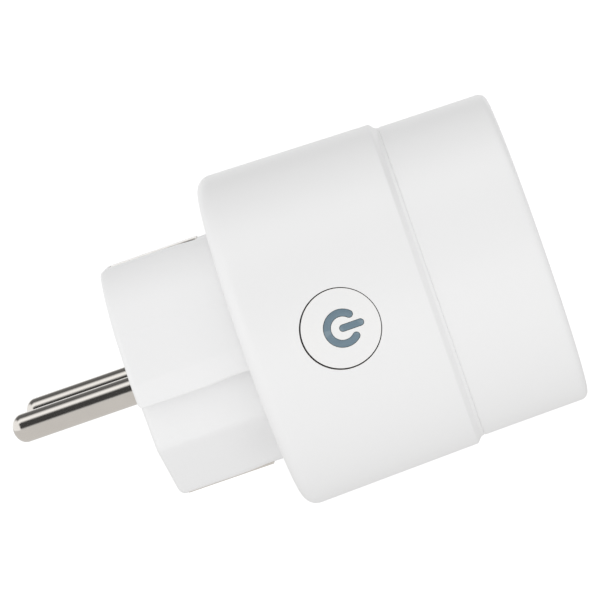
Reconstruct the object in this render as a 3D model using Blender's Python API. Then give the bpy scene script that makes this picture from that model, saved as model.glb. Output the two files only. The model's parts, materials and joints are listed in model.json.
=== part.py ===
"""Plug-in power meter with a socket on its front, a push button on its side and a two-pin earthed plug.

Units are metres and +Z is up. The origin is the centre of the plug's face. +Y points along the pins,
towards the wall, and the socket opens towards -Y. The push button is on the -X side.
"""
import math

import bmesh
import bpy
from mathutils import Matrix, Vector

# Plug ----------------------------------------------------------------------
PLUG_LENGTH = 0.0169            # plug face to the housing's rear wall
PLUG_ROUND_R = 0.0189           # round flanks of the plug
PLUG_HALF_HEIGHT = 0.01748      # axis to the flats that carry the earth clips
PLUG_CREASE_Z = 0.0085          # where the round flank turns into a plain facet
PLUG_BAND_Z = 0.0015            # where that facet meets the guide band
PLUG_STEP_Z = 0.0021            # lower edge of the guide band
PLUG_RECESS_TOP_X = 0.0152      # side of the guide recess, at the step
PLUG_RECESS_LOW_X = 0.0146      # side of the guide recess, at its lower edge
PLUG_RECESS_LOW_Z = 0.00885     # lower edge of the guide recess
PLUG_FLAT_X = 0.0035            # where the slanted flank meets the clip flat
PLUG_FACE_FILLET = 0.0009
PLUG_WALL = 0.0018
PLUG_FACE_WALL = 0.0030
PIN_SPACING = 0.0190
PIN_LENGTH = 0.0190
PIN_R = 0.0021
PIN_TIP_SHARE = 0.83            # length of the rounded tip, in pin radii
PIN_COLLAR = 0.0012
PIN_TAIL = 0.0090               # length of pin behind the plug's face
EARTH_HOLE_R = 0.0026
EARTH_HOLE_Z = 0.0100

# Housing -------------------------------------------------------------------
BODY_LENGTH = 0.0274            # rear wall to the step in the outline
BODY_R_REAR = 0.0253
BODY_R_STEP = 0.02462
BODY_REAR_ROUND = 0.0022
BODY_WALL = 0.0020
REAR_WALL = 0.0026
SHOULDER_BEHIND = 0.0016        # sloped shoulder, behind and in front of the step
SHOULDER_AHEAD = 0.0005
COVER_LENGTH = 0.0167
COVER_R_STEP = 0.02374
COVER_R_FRONT = 0.0235
COVER_RIM_ROUND = 0.0012

# Socket --------------------------------------------------------------------
WELL_R = 0.0196
WELL_DEPTH = 0.0175
WELL_FLOOR = 0.0025
WELL_LEAD_IN = 0.0006
PIN_ENTRY_R = 0.0028
RIB_WIDTH = 0.0048
RIB_REACH = 0.0166              # axis to the top of a guide rib
RIB_SIDE_CLEARANCE = 0.0007
RIB_FROM_RIM = 0.0012
SPIGOT_LENGTH = 0.0034
SPIGOT_WALL = 0.0013

# Button --------------------------------------------------------------------
BUTTON_FROM_STEP = 0.0135
BUTTON_R = 0.00557
BUTTON_FLANGE_R = 0.0061
BUTTON_FLANGE = 0.0008
BUTTON_FACE = 0.0015
BUTTON_TRAVEL = 0.0004
ICON_R = 0.00211
ICON_STROKE = 0.00093
ICON_BAR_LENGTH = 0.0026
ICON_GAP_ANGLE = math.radians(47)
ICON_OFFSET = 0.0003
ICON_SINK = 0.00005
GUIDE_DISC_R = 0.0042
GUIDE_DISC = 0.0012
GUIDE_STEM_R = 0.0015

# Fits ----------------------------------------------------------------------
GAP = 0.0003                    # between pieces that touch or pass through each other
FINE_GAP = 0.00015              # around the light guide's strokes
SEAM = 0.0002                   # between housing and cover
ROUND_STEPS = 48                # facets round the shells
CUT_PAST = 0.001                # how far a cutter reaches past what it cuts
SINK = 0.0005                   # how deep joined solids overlap

# Places that follow from the sizes -----------------------------------------
REAR_Y = -PLUG_LENGTH
STEP_Y = REAR_Y - BODY_LENGTH
FRONT_Y = STEP_Y - COVER_LENGTH
COVER_BACK_Y = STEP_Y - SHOULDER_AHEAD - SEAM
HOUSING_FRONT_Y = STEP_Y - SHOULDER_AHEAD
FLOOR_Y = FRONT_Y + WELL_DEPTH
FLOOR_BACK_Y = FLOOR_Y + WELL_FLOOR
BUTTON_Y = STEP_Y + BUTTON_FROM_STEP
BUTTON_HOLE_R = BUTTON_R + GAP
REAR_WALL_IN_Y = REAR_Y - REAR_WALL
FLANGE_Y = REAR_WALL_IN_Y - GAP

# Inside --------------------------------------------------------------------
FLANGE = 0.0018
FLANGE_R = 0.0222
BOARD = 0.0014
BOARD_R = 0.0221
SCREW_CIRCLE_R = 0.0203
SCREW_R = 0.0010
SCREW_HEAD_R = 0.0018
SCREW_HEAD = 0.0011
SCREW_REACH = 0.0060            # how far a screw goes into its boss
PILOT_DEPTH = 0.0075
BOSS_R = 0.0019
SHUTTER = 0.0014
SHUTTER_HUB_R = 0.0036
SHUTTER_POST_R = 0.0012
SHUTTER_WING_R = 0.0036
SHUTTER_ARM = 0.0044
SPRING_POCKET = 0.0013
SPRING_R = 0.0026
SPRING_WIRE_R = 0.00013
SPRING_TURNS = 2
SPRING_STEPS = 14
SPRING_PITCH = 0.00038
CARRIER = 0.0020
CARRIER_R = 0.0194
CONTACT_R = 0.0033
CONTACT_BORE_R = 0.0025
CONTACT_TO_BOARD = 0.0010
CONTACT_SLIT = 0.0009
STRAP = 0.0006
BOW_WIDTH = 0.0066
BOW_LEG_Z = WELL_R - 0.0008
BOW_SLOT_IN = 0.0021
BOW_SLOT_OUT = 0.0024
BOW_SLOT_FROM_RIM = 0.0030
BOW_BENDS = ((0.0010, 0.0), (0.0045, 0.0006), (0.0082, 0.0016), (0.0120, 0.0002), (0.0135, -0.0008))
NOTCH_IN = 0.0008
CLIP_WIDTH = 0.0060
CLIP_LENGTH = 0.0145
CLIP_FOOT = 0.0042
RELAY = Vector((0.0190, 0.0108, 0.0112))
RELAY_Z = 0.0127
CAPACITOR_R = 0.0040
CAPACITOR_LENGTH = 0.0108
CAPACITOR_X = -0.0058
CAPACITOR_Z = -0.0130
CAN_EDGE = 0.0005
CHOKE_R = 0.0030
CHOKE_LENGTH = 0.0088
CHOKE_X = 0.0020
CHOKE_Z = -0.0150
FILM_CAPACITOR = Vector((0.0050, 0.0090, 0.0080))
FILM_X = 0.0062
FILM_Z = -0.0155
CHIP = Vector((0.0050, 0.0012, 0.0040))
CHIP_X = -0.0040
CHIP_Z = 0.0020
SHUNT = Vector((0.0065, 0.0010, 0.0030))
SHUNT_X = -0.0030
SHUNT_Z = -0.0085
VARISTOR = 0.0024
VARISTOR_R = 0.0042
VARISTOR_X = -0.0062
VARISTOR_Z = 0.0095
FUSE_R = 0.0017
FUSE_LENGTH = 0.0080
FUSE_Z = -0.0115
BUSBAR = Vector((0.0032, 0.0008))
EARTH_WIRE_R = 0.0008
SHIELD_INSET = 0.0020
SHIELD_WIDTH = 0.0090
SHIELD_HEIGHT = 0.0018
SIDE_BOARD_THICK = 0.0010
SIDE_BOARD_LENGTH = 0.0120
SIDE_BOARD_WIDTH = 0.0150
BUTTON_BOARD_X = -0.0148        # outer face of the button's board
RADIO_BOARD_X = 0.0160          # outer face of the radio board
SWITCH_SIZE = 0.0060
SWITCH_HEIGHT = 0.0024
PLUNGER_R = 0.0015
PLUNGER_PROUD = 0.0006
PLUNGER_DEPTH = 0.0010
STATUS_LIGHT = Vector((0.0009, 0.0016, 0.0016))
STATUS_LIGHT_Z = 0.0050

SHUTTER_Y = FLOOR_BACK_Y + GAP
CARRIER_Y = SHUTTER_Y + SHUTTER + GAP
BOW_Y = CARRIER_Y + CARRIER + GAP
INSERT_BACK_Y = FLANGE_Y - FLANGE
BOARD_Y = INSERT_BACK_Y - GAP
BOARD_FRONT_Y = BOARD_Y - BOARD
PART_Y = BOARD_FRONT_Y - GAP    # where the parts on the power board begin


def material(name, colour, roughness, metallic=0.0):
    """A Principled material with one colour."""
    made = bpy.data.materials.new(name)
    made.use_nodes = True
    shader = made.node_tree.nodes["Principled BSDF"]
    shader.inputs["Base Color"].default_value = (*colour, 1.0)
    shader.inputs["Roughness"].default_value = roughness
    shader.inputs["Metallic"].default_value = metallic
    made.diffuse_color = (*colour, 1.0)
    return made


def add_object(name, mesh_edit, finish=None):
    """Turn a bmesh into a named object with its faces pointing outwards."""
    bmesh.ops.remove_doubles(mesh_edit, verts=mesh_edit.verts, dist=1e-7)
    bmesh.ops.recalc_face_normals(mesh_edit, faces=mesh_edit.faces)
    mesh = bpy.data.meshes.new(name)
    mesh_edit.to_mesh(mesh)
    mesh_edit.free()
    made = bpy.data.objects.new(name, mesh)
    bpy.context.scene.collection.objects.link(made)
    if finish is not None:
        mesh.materials.append(finish)
    mesh.shade_smooth()
    mesh.set_sharp_from_angle(angle=math.radians(30))
    return made


def turned(name, profile, finish=None, steps=24, centre=(0, 0, 0), axis="Y"):
    """Turn a profile of (radius, height) points about an axis through centre.

    A profile that starts and ends on the axis makes a solid; any other closes on itself as a ring.
    """
    edit = bmesh.new()
    on_axis = profile[0][0] < 1e-9 and profile[-1][0] < 1e-9
    rings = []
    for radius, height in profile:
        if radius < 1e-9:
            rings.append([edit.verts.new((0, 0, height))])
            continue
        ring = []
        for step in range(steps):
            angle = 2 * math.pi * step / steps
            ring.append(edit.verts.new((radius * math.cos(angle), radius * math.sin(angle), height)))
        rings.append(ring)
    pairs = list(zip(rings, rings[1:]))
    if not on_axis:
        pairs.append((rings[-1], rings[0]))
    for low, high in pairs:
        for step in range(steps):
            after = (step + 1) % steps
            if len(low) == 1:
                edit.faces.new((low[0], high[step], high[after]))
            elif len(high) == 1:
                edit.faces.new((low[step], low[after], high[0]))
            else:
                edit.faces.new((low[step], low[after], high[after], high[step]))
    turn = {"Y": Matrix.Rotation(-math.pi / 2, 4, "X"), "X": Matrix.Rotation(math.pi / 2, 4, "Y"),
            "Z": Matrix.Identity(4)}[axis]
    bmesh.ops.transform(edit, matrix=Matrix.Translation(centre) @ turn, verts=edit.verts)
    return add_object(name, edit, finish)


def rod(name, radius, start, end, finish=None, steps=20, centre=(0, 0, 0), axis="Y"):
    """A plain round bar between two heights on its axis."""
    return turned(name, [(0, start), (radius, start), (radius, end), (0, end)], finish, steps, centre, axis)


def block(name, low, high, finish=None):
    """A box between two corners."""
    edit = bmesh.new()
    low = Vector(low)
    high = Vector(high)
    size = Matrix.Diagonal((*(high - low), 1.0))
    bmesh.ops.create_cube(edit, size=1.0, matrix=Matrix.Translation((low + high) / 2) @ size)
    return add_object(name, edit, finish)


def lofted(name, outlines, finish=None):
    """Join outlines of (x, z) points at their y values, with both ends closed."""
    edit = bmesh.new()
    rings = [[edit.verts.new((x, y, z)) for x, z in outline] for y, outline in outlines]
    for low, high in zip(rings, rings[1:]):
        for step in range(len(low)):
            after = (step + 1) % len(low)
            edit.faces.new((low[step], low[after], high[after], high[step]))
    edit.faces.new(rings[0])
    edit.faces.new(rings[-1])
    return add_object(name, edit, finish)


def strip(name, route, width, finish=None, thickness=STRAP):
    """A flat metal strip that follows (y, z) points, as wide as width along X."""
    edit = bmesh.new()
    points = [Vector(point) for point in route]
    sides = []
    for index, point in enumerate(points):
        before = points[max(index - 1, 0)]
        after = points[min(index + 1, len(points) - 1)]
        run_in = (point - before).normalized() if index else (after - point).normalized()
        run_out = (after - point).normalized() if index < len(points) - 1 else run_in
        normal = Vector((-(run_in + run_out).y, (run_in + run_out).x)).normalized()
        reach = thickness / 2 / max(normal.dot(Vector((-run_in.y, run_in.x))), 0.3)
        sides.append((point + normal * reach, point - normal * reach))
    outline = [side[0] for side in sides] + [side[1] for side in reversed(sides)]
    left = [edit.verts.new((-width / 2, y, z)) for y, z in outline]
    right = [edit.verts.new((width / 2, y, z)) for y, z in outline]
    count = len(sides)
    for index in range(2 * count):
        after = (index + 1) % (2 * count)
        edit.faces.new((left[index], left[after], right[after], right[index]))
    for index in range(count - 1):
        mate = 2 * count - 1 - index
        edit.faces.new((left[index], left[index + 1], left[mate - 1], left[mate]))
        edit.faces.new((right[index], right[index + 1], right[mate - 1], right[mate]))
    return add_object(name, edit, finish)


def combine(target, other, operation):
    """Cut, join or meet a solid with another one, which is then kept as a hidden guide."""
    modifier = target.modifiers.new(operation.lower() + "_" + other.name, "BOOLEAN")
    modifier.operation = operation
    modifier.object = other
    other.hide_render = True
    other.display_type = "WIRE"
    return target


def cut(target, *cutters):
    for cutter in cutters:
        combine(target, cutter, "DIFFERENCE")
    return target


def join(target, *others):
    for other in others:
        combine(target, other, "UNION")
    return target


def turned_half(points):
    """A half outline followed by the same half turned by 180 degrees."""
    return points + [(-x, -z) for x, z in points]


def plug_outline(grow=0.0):
    """The plug's section, as (x, z) points, grown outwards by a distance."""
    radius = PLUG_ROUND_R
    flat_z = PLUG_HALF_HEIGHT
    first = math.asin(flat_z / radius)
    last = math.asin(PLUG_CREASE_Z / radius)
    arc_steps = 7
    half = []
    for step in range(arc_steps + 1):
        angle = first + (last - first) * step / arc_steps
        half.append((-radius * math.cos(angle), radius * math.sin(angle)))
    half.append((-math.sqrt(radius ** 2 - PLUG_BAND_Z ** 2), PLUG_BAND_Z))
    half.append((-math.sqrt(radius ** 2 - PLUG_STEP_Z ** 2), -PLUG_STEP_Z))
    half.append((-PLUG_RECESS_TOP_X, -PLUG_STEP_Z))
    half.append((-PLUG_RECESS_LOW_X, -PLUG_RECESS_LOW_Z))
    half.append((-PLUG_FLAT_X, -flat_z))
    return offset_outline(turned_half(half), grow)


def offset_outline(points, grow):
    """Move each side of a closed outline outwards by the same distance."""
    moved = []
    count = len(points)
    for index in range(count):
        before = Vector(points[index - 1])
        here = Vector(points[index])
        after = Vector(points[(index + 1) % count])
        run_in = (here - before).normalized()
        run_out = (after - here).normalized()
        side_in = Vector((-run_in.y, run_in.x))
        side_out = Vector((-run_out.y, run_out.x))
        middle = (side_in + side_out).normalized()
        place = here - middle * grow / middle.dot(side_in)
        moved.append((place.x, place.y))
    return moved


def round_corner(centre, radius, start, end, steps=4):
    """Points of an arc in (radius, height), by angle in degrees."""
    points = []
    for step in range(steps + 1):
        angle = math.radians(start + (end - start) * step / steps)
        points.append((centre[0] + radius * math.cos(angle), centre[1] + radius * math.sin(angle)))
    return points


def screw_places():
    """Centres of the two screws, as (x, z), opposite each other beside the plug's slanted flanks."""
    flank = math.atan2(PLUG_RECESS_LOW_X - PLUG_FLAT_X, PLUG_HALF_HEIGHT - PLUG_RECESS_LOW_Z)
    for angle in (flank, flank + math.pi):
        yield SCREW_CIRCLE_R * math.cos(angle), SCREW_CIRCLE_R * math.sin(angle)


for old in list(bpy.data.objects):
    bpy.data.objects.remove(old, do_unlink=True)

WHITE_GLOSS = material("white_gloss_plastic", (0.90, 0.90, 0.90), 0.25)
WHITE_SATIN = material("white_satin_plastic", (0.88, 0.88, 0.88), 0.35)
NICKEL = material("nickel_plated_brass", (0.78, 0.74, 0.69), 0.18, 1.0)
SPRING_STEEL = material("spring_steel", (0.62, 0.62, 0.62), 0.3, 1.0)
BRASS = material("brass", (0.80, 0.62, 0.32), 0.3, 1.0)
GREY_LIGHT_GUIDE = material("grey_light_guide", (0.16, 0.23, 0.29), 0.3)
BLACK_PLASTIC = material("black_plastic", (0.03, 0.03, 0.03), 0.45)
GREY_PLASTIC = material("grey_plastic", (0.35, 0.36, 0.37), 0.5)
GREEN_BOARD = material("green_board", (0.03, 0.17, 0.08), 0.4)
BLUE_SLEEVE = material("blue_sleeve", (0.04, 0.13, 0.36), 0.35)
YELLOW_FILM = material("yellow_film", (0.80, 0.62, 0.10), 0.4)
TAN_CERAMIC = material("tan_ceramic", (0.55, 0.42, 0.26), 0.6)
COPPER = material("copper_wire", (0.72, 0.36, 0.20), 0.3, 1.0)
GREEN_WIRE = material("green_wire", (0.20, 0.45, 0.10), 0.5)
CLEAR_LENS = material("milky_lens", (0.85, 0.87, 0.88), 0.2)
STEEL = material("steel", (0.56, 0.56, 0.57), 0.3, 1.0)


# Housing -------------------------------------------------------------------
def body_outer(grow=0.0):
    """Outer profile of the housing from its open front edge to its rear opening, as (radius, y)."""
    points = [(COVER_R_STEP + grow, HOUSING_FRONT_Y)]
    shoulder_steps = 6
    for step in range(1, shoulder_steps):
        share = step / shoulder_steps
        blend = share * share * (3 - 2 * share)
        radius = COVER_R_STEP + (BODY_R_STEP - COVER_R_STEP) * blend
        points.append((radius + grow, HOUSING_FRONT_Y + (SHOULDER_AHEAD + SHOULDER_BEHIND) * share))
    points.append((BODY_R_STEP + grow, STEP_Y + SHOULDER_BEHIND))
    corner = (BODY_R_REAR - BODY_REAR_ROUND + grow, REAR_Y - BODY_REAR_ROUND)
    points += round_corner(corner, BODY_REAR_ROUND, 0, 90)
    return points


inner_front_r = COVER_R_STEP - BODY_WALL
inner_rear_r = BODY_R_REAR - BODY_WALL
housing_profile = [(inner_front_r, HOUSING_FRONT_Y)]
housing_profile += body_outer()
housing_profile += [(0.0, REAR_Y), (0.0, REAR_WALL_IN_Y), (inner_rear_r - BODY_WALL / 2, REAR_WALL_IN_Y),
                    (inner_rear_r, REAR_WALL_IN_Y - BODY_WALL / 2),
                    (BODY_R_STEP - BODY_WALL, STEP_Y + SHOULDER_BEHIND + BODY_WALL),
                    (inner_front_r, STEP_Y + GAP)]


def turned_cup(name, profile, finish, steps):
    """A cup: a profile that meets the axis twice in its middle and closes at its mouth."""
    first = next(index for index, point in enumerate(profile) if point[0] == 0.0)
    return turned(name, [profile[first + 1]] + profile[first + 2:] + profile[:first + 1], finish, steps)


main_housing = turned_cup("main_housing", housing_profile, WHITE_GLOSS, ROUND_STEPS)
rear_opening = lofted("rear_opening", [(REAR_WALL_IN_Y - CUT_PAST, plug_outline(GAP)),
                                       (REAR_Y + CUT_PAST, plug_outline(GAP))])
button_hole = rod("button_hole", BUTTON_HOLE_R, -BODY_R_REAR - CUT_PAST, -BODY_R_REAR + 4 * BODY_WALL, None,
                  32,
                  (0, BUTTON_Y, 0), "X")
cut(main_housing, rear_opening, button_hole)
for number, (x, z) in enumerate(screw_places()):
    counterbore = rod(f"counterbore_{number}", SCREW_HEAD_R + GAP, REAR_Y - SCREW_HEAD - GAP,
                      REAR_Y + CUT_PAST,
                      None, 16, (x, 0, z))
    shank_hole = rod(f"shank_hole_{number}", SCREW_R + GAP, REAR_WALL_IN_Y - CUT_PAST, REAR_Y - SCREW_HEAD,
                     None, 12, (x, 0, z))
    cut(main_housing, counterbore, shank_hole)

# Front cover with the socket well ------------------------------------------
spigot_r = inner_front_r - GAP
cover_profile = [(0.0, FLOOR_Y), (WELL_R, FLOOR_Y), (WELL_R, FRONT_Y + WELL_LEAD_IN),
                 (WELL_R + WELL_LEAD_IN, FRONT_Y)]
cover_profile += round_corner((COVER_R_FRONT - COVER_RIM_ROUND, FRONT_Y + COVER_RIM_ROUND), COVER_RIM_ROUND,
                              -90, 0, 3)
cover_profile += [(COVER_R_STEP, COVER_BACK_Y), (spigot_r, COVER_BACK_Y),
                  (spigot_r, COVER_BACK_Y + SPIGOT_LENGTH),
                  (spigot_r - SPIGOT_WALL, COVER_BACK_Y + SPIGOT_LENGTH),
                  (spigot_r - SPIGOT_WALL, FLOOR_BACK_Y), (0.0, FLOOR_BACK_Y)]
front_cover = turned("front_cover", cover_profile, WHITE_GLOSS, ROUND_STEPS)
rib_middle_z = PLUG_STEP_Z + RIB_SIDE_CLEARANCE + RIB_WIDTH / 2
for side in (-1, 1):
    rib_low = (min(side * RIB_REACH, side * WELL_R), FRONT_Y + RIB_FROM_RIM,
               side * rib_middle_z - RIB_WIDTH / 2)
    rib_high = (max(side * RIB_REACH, side * WELL_R), FLOOR_Y + SINK, side * rib_middle_z + RIB_WIDTH / 2)
    join(front_cover, block(f"guide_rib_{side + 1}", rib_low, rib_high))
for side in (-1, 1):
    entry = rod(f"pin_entry_{side + 1}", PIN_ENTRY_R, FLOOR_Y - CUT_PAST, FLOOR_BACK_Y + CUT_PAST, None, 20,
                (side * PIN_SPACING / 2, 0, 0))
    cut(front_cover, entry)
for side in (-1, 1):
    slot_z = sorted((side * (BOW_LEG_Z - BOW_SLOT_IN), side * (BOW_LEG_Z + BOW_SLOT_OUT)))
    slot_low = (-BOW_WIDTH / 2 - GAP, FRONT_Y + BOW_SLOT_FROM_RIM, slot_z[0])
    slot_end = max(COVER_BACK_Y + SPIGOT_LENGTH, FLOOR_BACK_Y) + CUT_PAST
    slot_high = (BOW_WIDTH / 2 + GAP, slot_end, slot_z[1])
    cut(front_cover, block(f"bow_slot_{side + 1}", slot_low, slot_high))
for number, (x, z) in enumerate(screw_places()):
    boss = rod(f"boss_{number}", BOSS_R, FLOOR_BACK_Y - SINK, BOARD_FRONT_Y - GAP, None, 16, (x, 0, z))
    pilot = rod(f"pilot_{number}", SCREW_R + GAP, PART_Y - PILOT_DEPTH, BOARD_FRONT_Y + CUT_PAST, None, 12,
                (x, 0, z))
    join(front_cover, boss)
    cut(front_cover, pilot)
lip_clear_r = spigot_r + GAP / 6
lip_clear_back = STEP_Y + BODY_WALL + GAP
lip_clear = [(lip_clear_r, COVER_BACK_Y + SEAM / 2), (BODY_R_REAR, COVER_BACK_Y + SEAM / 2),
             (BODY_R_REAR, lip_clear_back), (lip_clear_r, lip_clear_back)]
cut(front_cover, turned("lip_clearance", lip_clear, None, ROUND_STEPS))

# Plug insert ---------------------------------------------------------------
insert_rings = [(FLANGE_Y - FLANGE / 2, plug_outline())]
insert_rings.append((-PLUG_FACE_FILLET, plug_outline()))
for angle in (30, 60, 90):
    turn = math.radians(angle)
    inset = PLUG_FACE_FILLET * (1 - math.cos(turn))
    insert_rings.append((-PLUG_FACE_FILLET * (1 - math.sin(turn)), plug_outline(-inset)))
plug_insert = lofted("plug_insert", insert_rings, WHITE_GLOSS)
join(plug_insert, rod("insert_flange", FLANGE_R, FLANGE_Y, FLANGE_Y - FLANGE, None, ROUND_STEPS))
cavity = lofted("insert_cavity", [(INSERT_BACK_Y - CUT_PAST, plug_outline(-PLUG_WALL)),
                                  (-PLUG_FACE_WALL, plug_outline(-PLUG_WALL))])
cut(plug_insert, cavity)
for side in (-1, 1):
    bore = rod(f"pin_bore_{side + 1}", PIN_R + GAP / 2, -PLUG_FACE_WALL - CUT_PAST, CUT_PAST, None, 20,
               (side * PIN_SPACING / 2, 0, 0))
    cut(plug_insert, bore)
    groove_z = (PLUG_HALF_HEIGHT - STRAP - GAP, PLUG_HALF_HEIGHT + CUT_PAST)
    groove_x = 0.5 * CLIP_WIDTH + GAP
    groove = block(f"clip_groove_{side + 1}",
                   (-groove_x, -CLIP_LENGTH - 2 * GAP, min(side * groove_z[0], side * groove_z[1])),
                   (groove_x, -PLUG_FACE_FILLET, max(side * groove_z[0], side * groove_z[1])))
    slot_z = (PLUG_HALF_HEIGHT - CLIP_FOOT + GAP, PLUG_HALF_HEIGHT + CUT_PAST)
    slot = block(f"clip_slot_{side + 1}",
                 (-groove_x, -CLIP_LENGTH - 2 * GAP, min(side * slot_z[0], side * slot_z[1])),
                 (groove_x, -CLIP_LENGTH + STRAP + GAP, max(side * slot_z[0], side * slot_z[1])))
    cut(plug_insert, groove, slot)
cut(plug_insert, rod("earth_hole", EARTH_HOLE_R, -PLUG_FACE_WALL - CUT_PAST, CUT_PAST, None, 20,
                     (0, 0, EARTH_HOLE_Z)))
for number, (x, z) in enumerate(screw_places()):
    flange_hole = rod(f"flange_hole_{number}", SCREW_R + GAP, INSERT_BACK_Y - CUT_PAST, FLANGE_Y + GAP / 2,
                      None, 12, (x, 0, z))
    cut(plug_insert, flange_hole)

# Pins, clips and busbars ----------------------------------------------------
def pin_profile():
    """From the tail behind the plug's face to the rounded tip."""
    tail_y = -PIN_TAIL
    collar_y = -PLUG_FACE_WALL - GAP
    points = [(0, tail_y), (PIN_R, tail_y), (PIN_R, collar_y - PIN_COLLAR),
              (PIN_R + PIN_COLLAR, collar_y - PIN_COLLAR),
              (PIN_R + PIN_COLLAR, collar_y), (PIN_R, collar_y)]
    tip_length = PIN_TIP_SHARE * PIN_R
    for step in range(7):
        angle = math.pi / 2 * step / 6
        points.append((PIN_R * math.cos(angle), PIN_LENGTH - tip_length + tip_length * math.sin(angle)))
    points[-1] = (0, PIN_LENGTH)
    return points


for name, side in (("line_pin", -1), ("neutral_pin", 1)):
    turned(name, pin_profile(), NICKEL, 20, (side * PIN_SPACING / 2, 0, 0))

clip_top_z = PLUG_HALF_HEIGHT - STRAP / 2
for name, side in (("plug_earth_clip_top", 1), ("plug_earth_clip_bottom", -1)):
    clip_route = [(-PLUG_FACE_FILLET - GAP, side * clip_top_z),
                  (-CLIP_LENGTH + STRAP / 2, side * clip_top_z),
                  (-CLIP_LENGTH + STRAP / 2, side * (PLUG_HALF_HEIGHT - CLIP_FOOT))]
    strip(name, clip_route, CLIP_WIDTH, NICKEL)
link_y = -CLIP_LENGTH - GAP - STRAP / 2
link_z = PLUG_HALF_HEIGHT - PLUG_WALL - 2 * GAP
strip("earth_link", [(link_y, -link_z), (link_y, link_z)], CLIP_WIDTH, BRASS)

for name, side in (("line_busbar", -1), ("neutral_busbar", 1)):
    x = side * PIN_SPACING / 2
    bar_start = -PIN_TAIL - GAP
    block(name, (x - BUSBAR.x / 2, BOARD_Y + GAP, -BUSBAR.y / 2),
          (x + BUSBAR.x / 2, bar_start, BUSBAR.y / 2), BRASS)

# Socket side metalwork ------------------------------------------------------
bow_half = [(BOW_Y + STRAP / 2, 0.0), (BOW_Y + STRAP / 2, BOW_LEG_Z)]
bow_half += [(FLOOR_Y - ahead, BOW_LEG_Z - inward) for ahead, inward in BOW_BENDS]
strip("socket_earth_bow", [(y, -z) for y, z in reversed(bow_half)] + bow_half[1:], BOW_WIDTH, SPRING_STEEL)

contact_front = CARRIER_Y + CARRIER + GAP
contact_back = BOARD_FRONT_Y - CONTACT_TO_BOARD
for name, side in (("line_contact", -1), ("neutral_contact", 1)):
    ring = [(CONTACT_BORE_R, contact_front), (CONTACT_R, contact_front),
            (CONTACT_R, contact_back), (CONTACT_BORE_R, contact_back)]
    x = side * PIN_SPACING / 2
    sleeve = turned(name, ring, BRASS, 20, (x, 0, 0))
    slit = block(name + "_slit", (x - CONTACT_SLIT / 2, contact_front - CUT_PAST, 0.0),
                 (x + CONTACT_SLIT / 2, contact_back + CUT_PAST, CONTACT_R + CUT_PAST))
    cut(sleeve, slit)

# Contact carrier, shutter and its spring ------------------------------------
post_tip = SHUTTER_Y + GAP
pocket_y = CARRIER_Y + SPRING_POCKET
carrier_profile = [(0, post_tip), (SHUTTER_POST_R, post_tip), (SHUTTER_POST_R, CARRIER_Y),
                   (SHUTTER_POST_R + GAP, CARRIER_Y), (SHUTTER_POST_R + GAP, pocket_y), (SHUTTER_HUB_R, pocket_y),
                   (SHUTTER_HUB_R, CARRIER_Y), (CARRIER_R, CARRIER_Y), (CARRIER_R, CARRIER_Y + CARRIER),
                   (0, CARRIER_Y + CARRIER)]
contact_carrier = turned("contact_carrier", carrier_profile, GREY_PLASTIC, 40)
for side in (-1, 1):
    x = side * PIN_SPACING / 2
    cut(contact_carrier, rod(f"carrier_hole_{side + 1}", PIN_ENTRY_R, CARRIER_Y - CUT_PAST,
                             CARRIER_Y + CARRIER + CUT_PAST,
                             None, 20, (x, 0, 0)))
    notch_z = sorted((side * (BOW_LEG_Z - NOTCH_IN), side * (CARRIER_R + CUT_PAST)))
    notch_low = (-BOW_WIDTH / 2 - GAP, CARRIER_Y - CUT_PAST, notch_z[0])
    notch_high = (BOW_WIDTH / 2 + GAP, CARRIER_Y + CARRIER + CUT_PAST, notch_z[1])
    cut(contact_carrier, block(f"carrier_notch_{side + 1}", notch_low, notch_high))
for number, (x, z) in enumerate(screw_places()):
    cut(contact_carrier, rod(f"carrier_clear_{number}", BOSS_R + GAP, CARRIER_Y - CUT_PAST,
                             CARRIER_Y + CARRIER + CUT_PAST,
                             None, 16, (x, 0, z)))

child_shutter = rod("child_shutter", SHUTTER_HUB_R, SHUTTER_Y, SHUTTER_Y + SHUTTER, GREY_PLASTIC, 24)
for side in (-1, 1):
    x = side * PIN_SPACING / 2
    join(child_shutter, rod(f"shutter_wing_{side + 1}", SHUTTER_WING_R, SHUTTER_Y, SHUTTER_Y + SHUTTER,
                            None, 20,
                            (x, 0, 0)))
join(child_shutter, block("shutter_arms", (-PIN_SPACING / 2, SHUTTER_Y, -SHUTTER_ARM / 2),
                          (PIN_SPACING / 2, SHUTTER_Y + SHUTTER, SHUTTER_ARM / 2)))
cut(child_shutter, rod("shutter_bore", SHUTTER_POST_R + GAP, SHUTTER_Y - CUT_PAST,
                       SHUTTER_Y + SHUTTER + CUT_PAST, None, 16))


def wire(name, points, radius, finish, sides=2):
    """A round wire along points, with flat ends."""
    curve = bpy.data.curves.new(name, "CURVE")
    curve.dimensions = "3D"
    curve.bevel_depth = radius
    curve.bevel_resolution = sides
    curve.use_fill_caps = True
    spline = curve.splines.new("POLY")
    spline.points.add(len(points) - 1)
    for spot, point in zip(spline.points, points):
        spot.co = (*point, 1.0)
    curve.materials.append(finish)
    made = bpy.data.objects.new(name, curve)
    bpy.context.scene.collection.objects.link(made)
    return made


spring_points = []
for step in range(SPRING_TURNS * SPRING_STEPS + 1):
    angle = 2 * math.pi * step / SPRING_STEPS
    spring_y = CARRIER_Y + GAP + SPRING_PITCH * step / SPRING_STEPS
    spring_points.append((SPRING_R * math.cos(angle), spring_y, SPRING_R * math.sin(angle)))
wire("shutter_spring", spring_points, SPRING_WIRE_R, SPRING_STEEL, 1)

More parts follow.
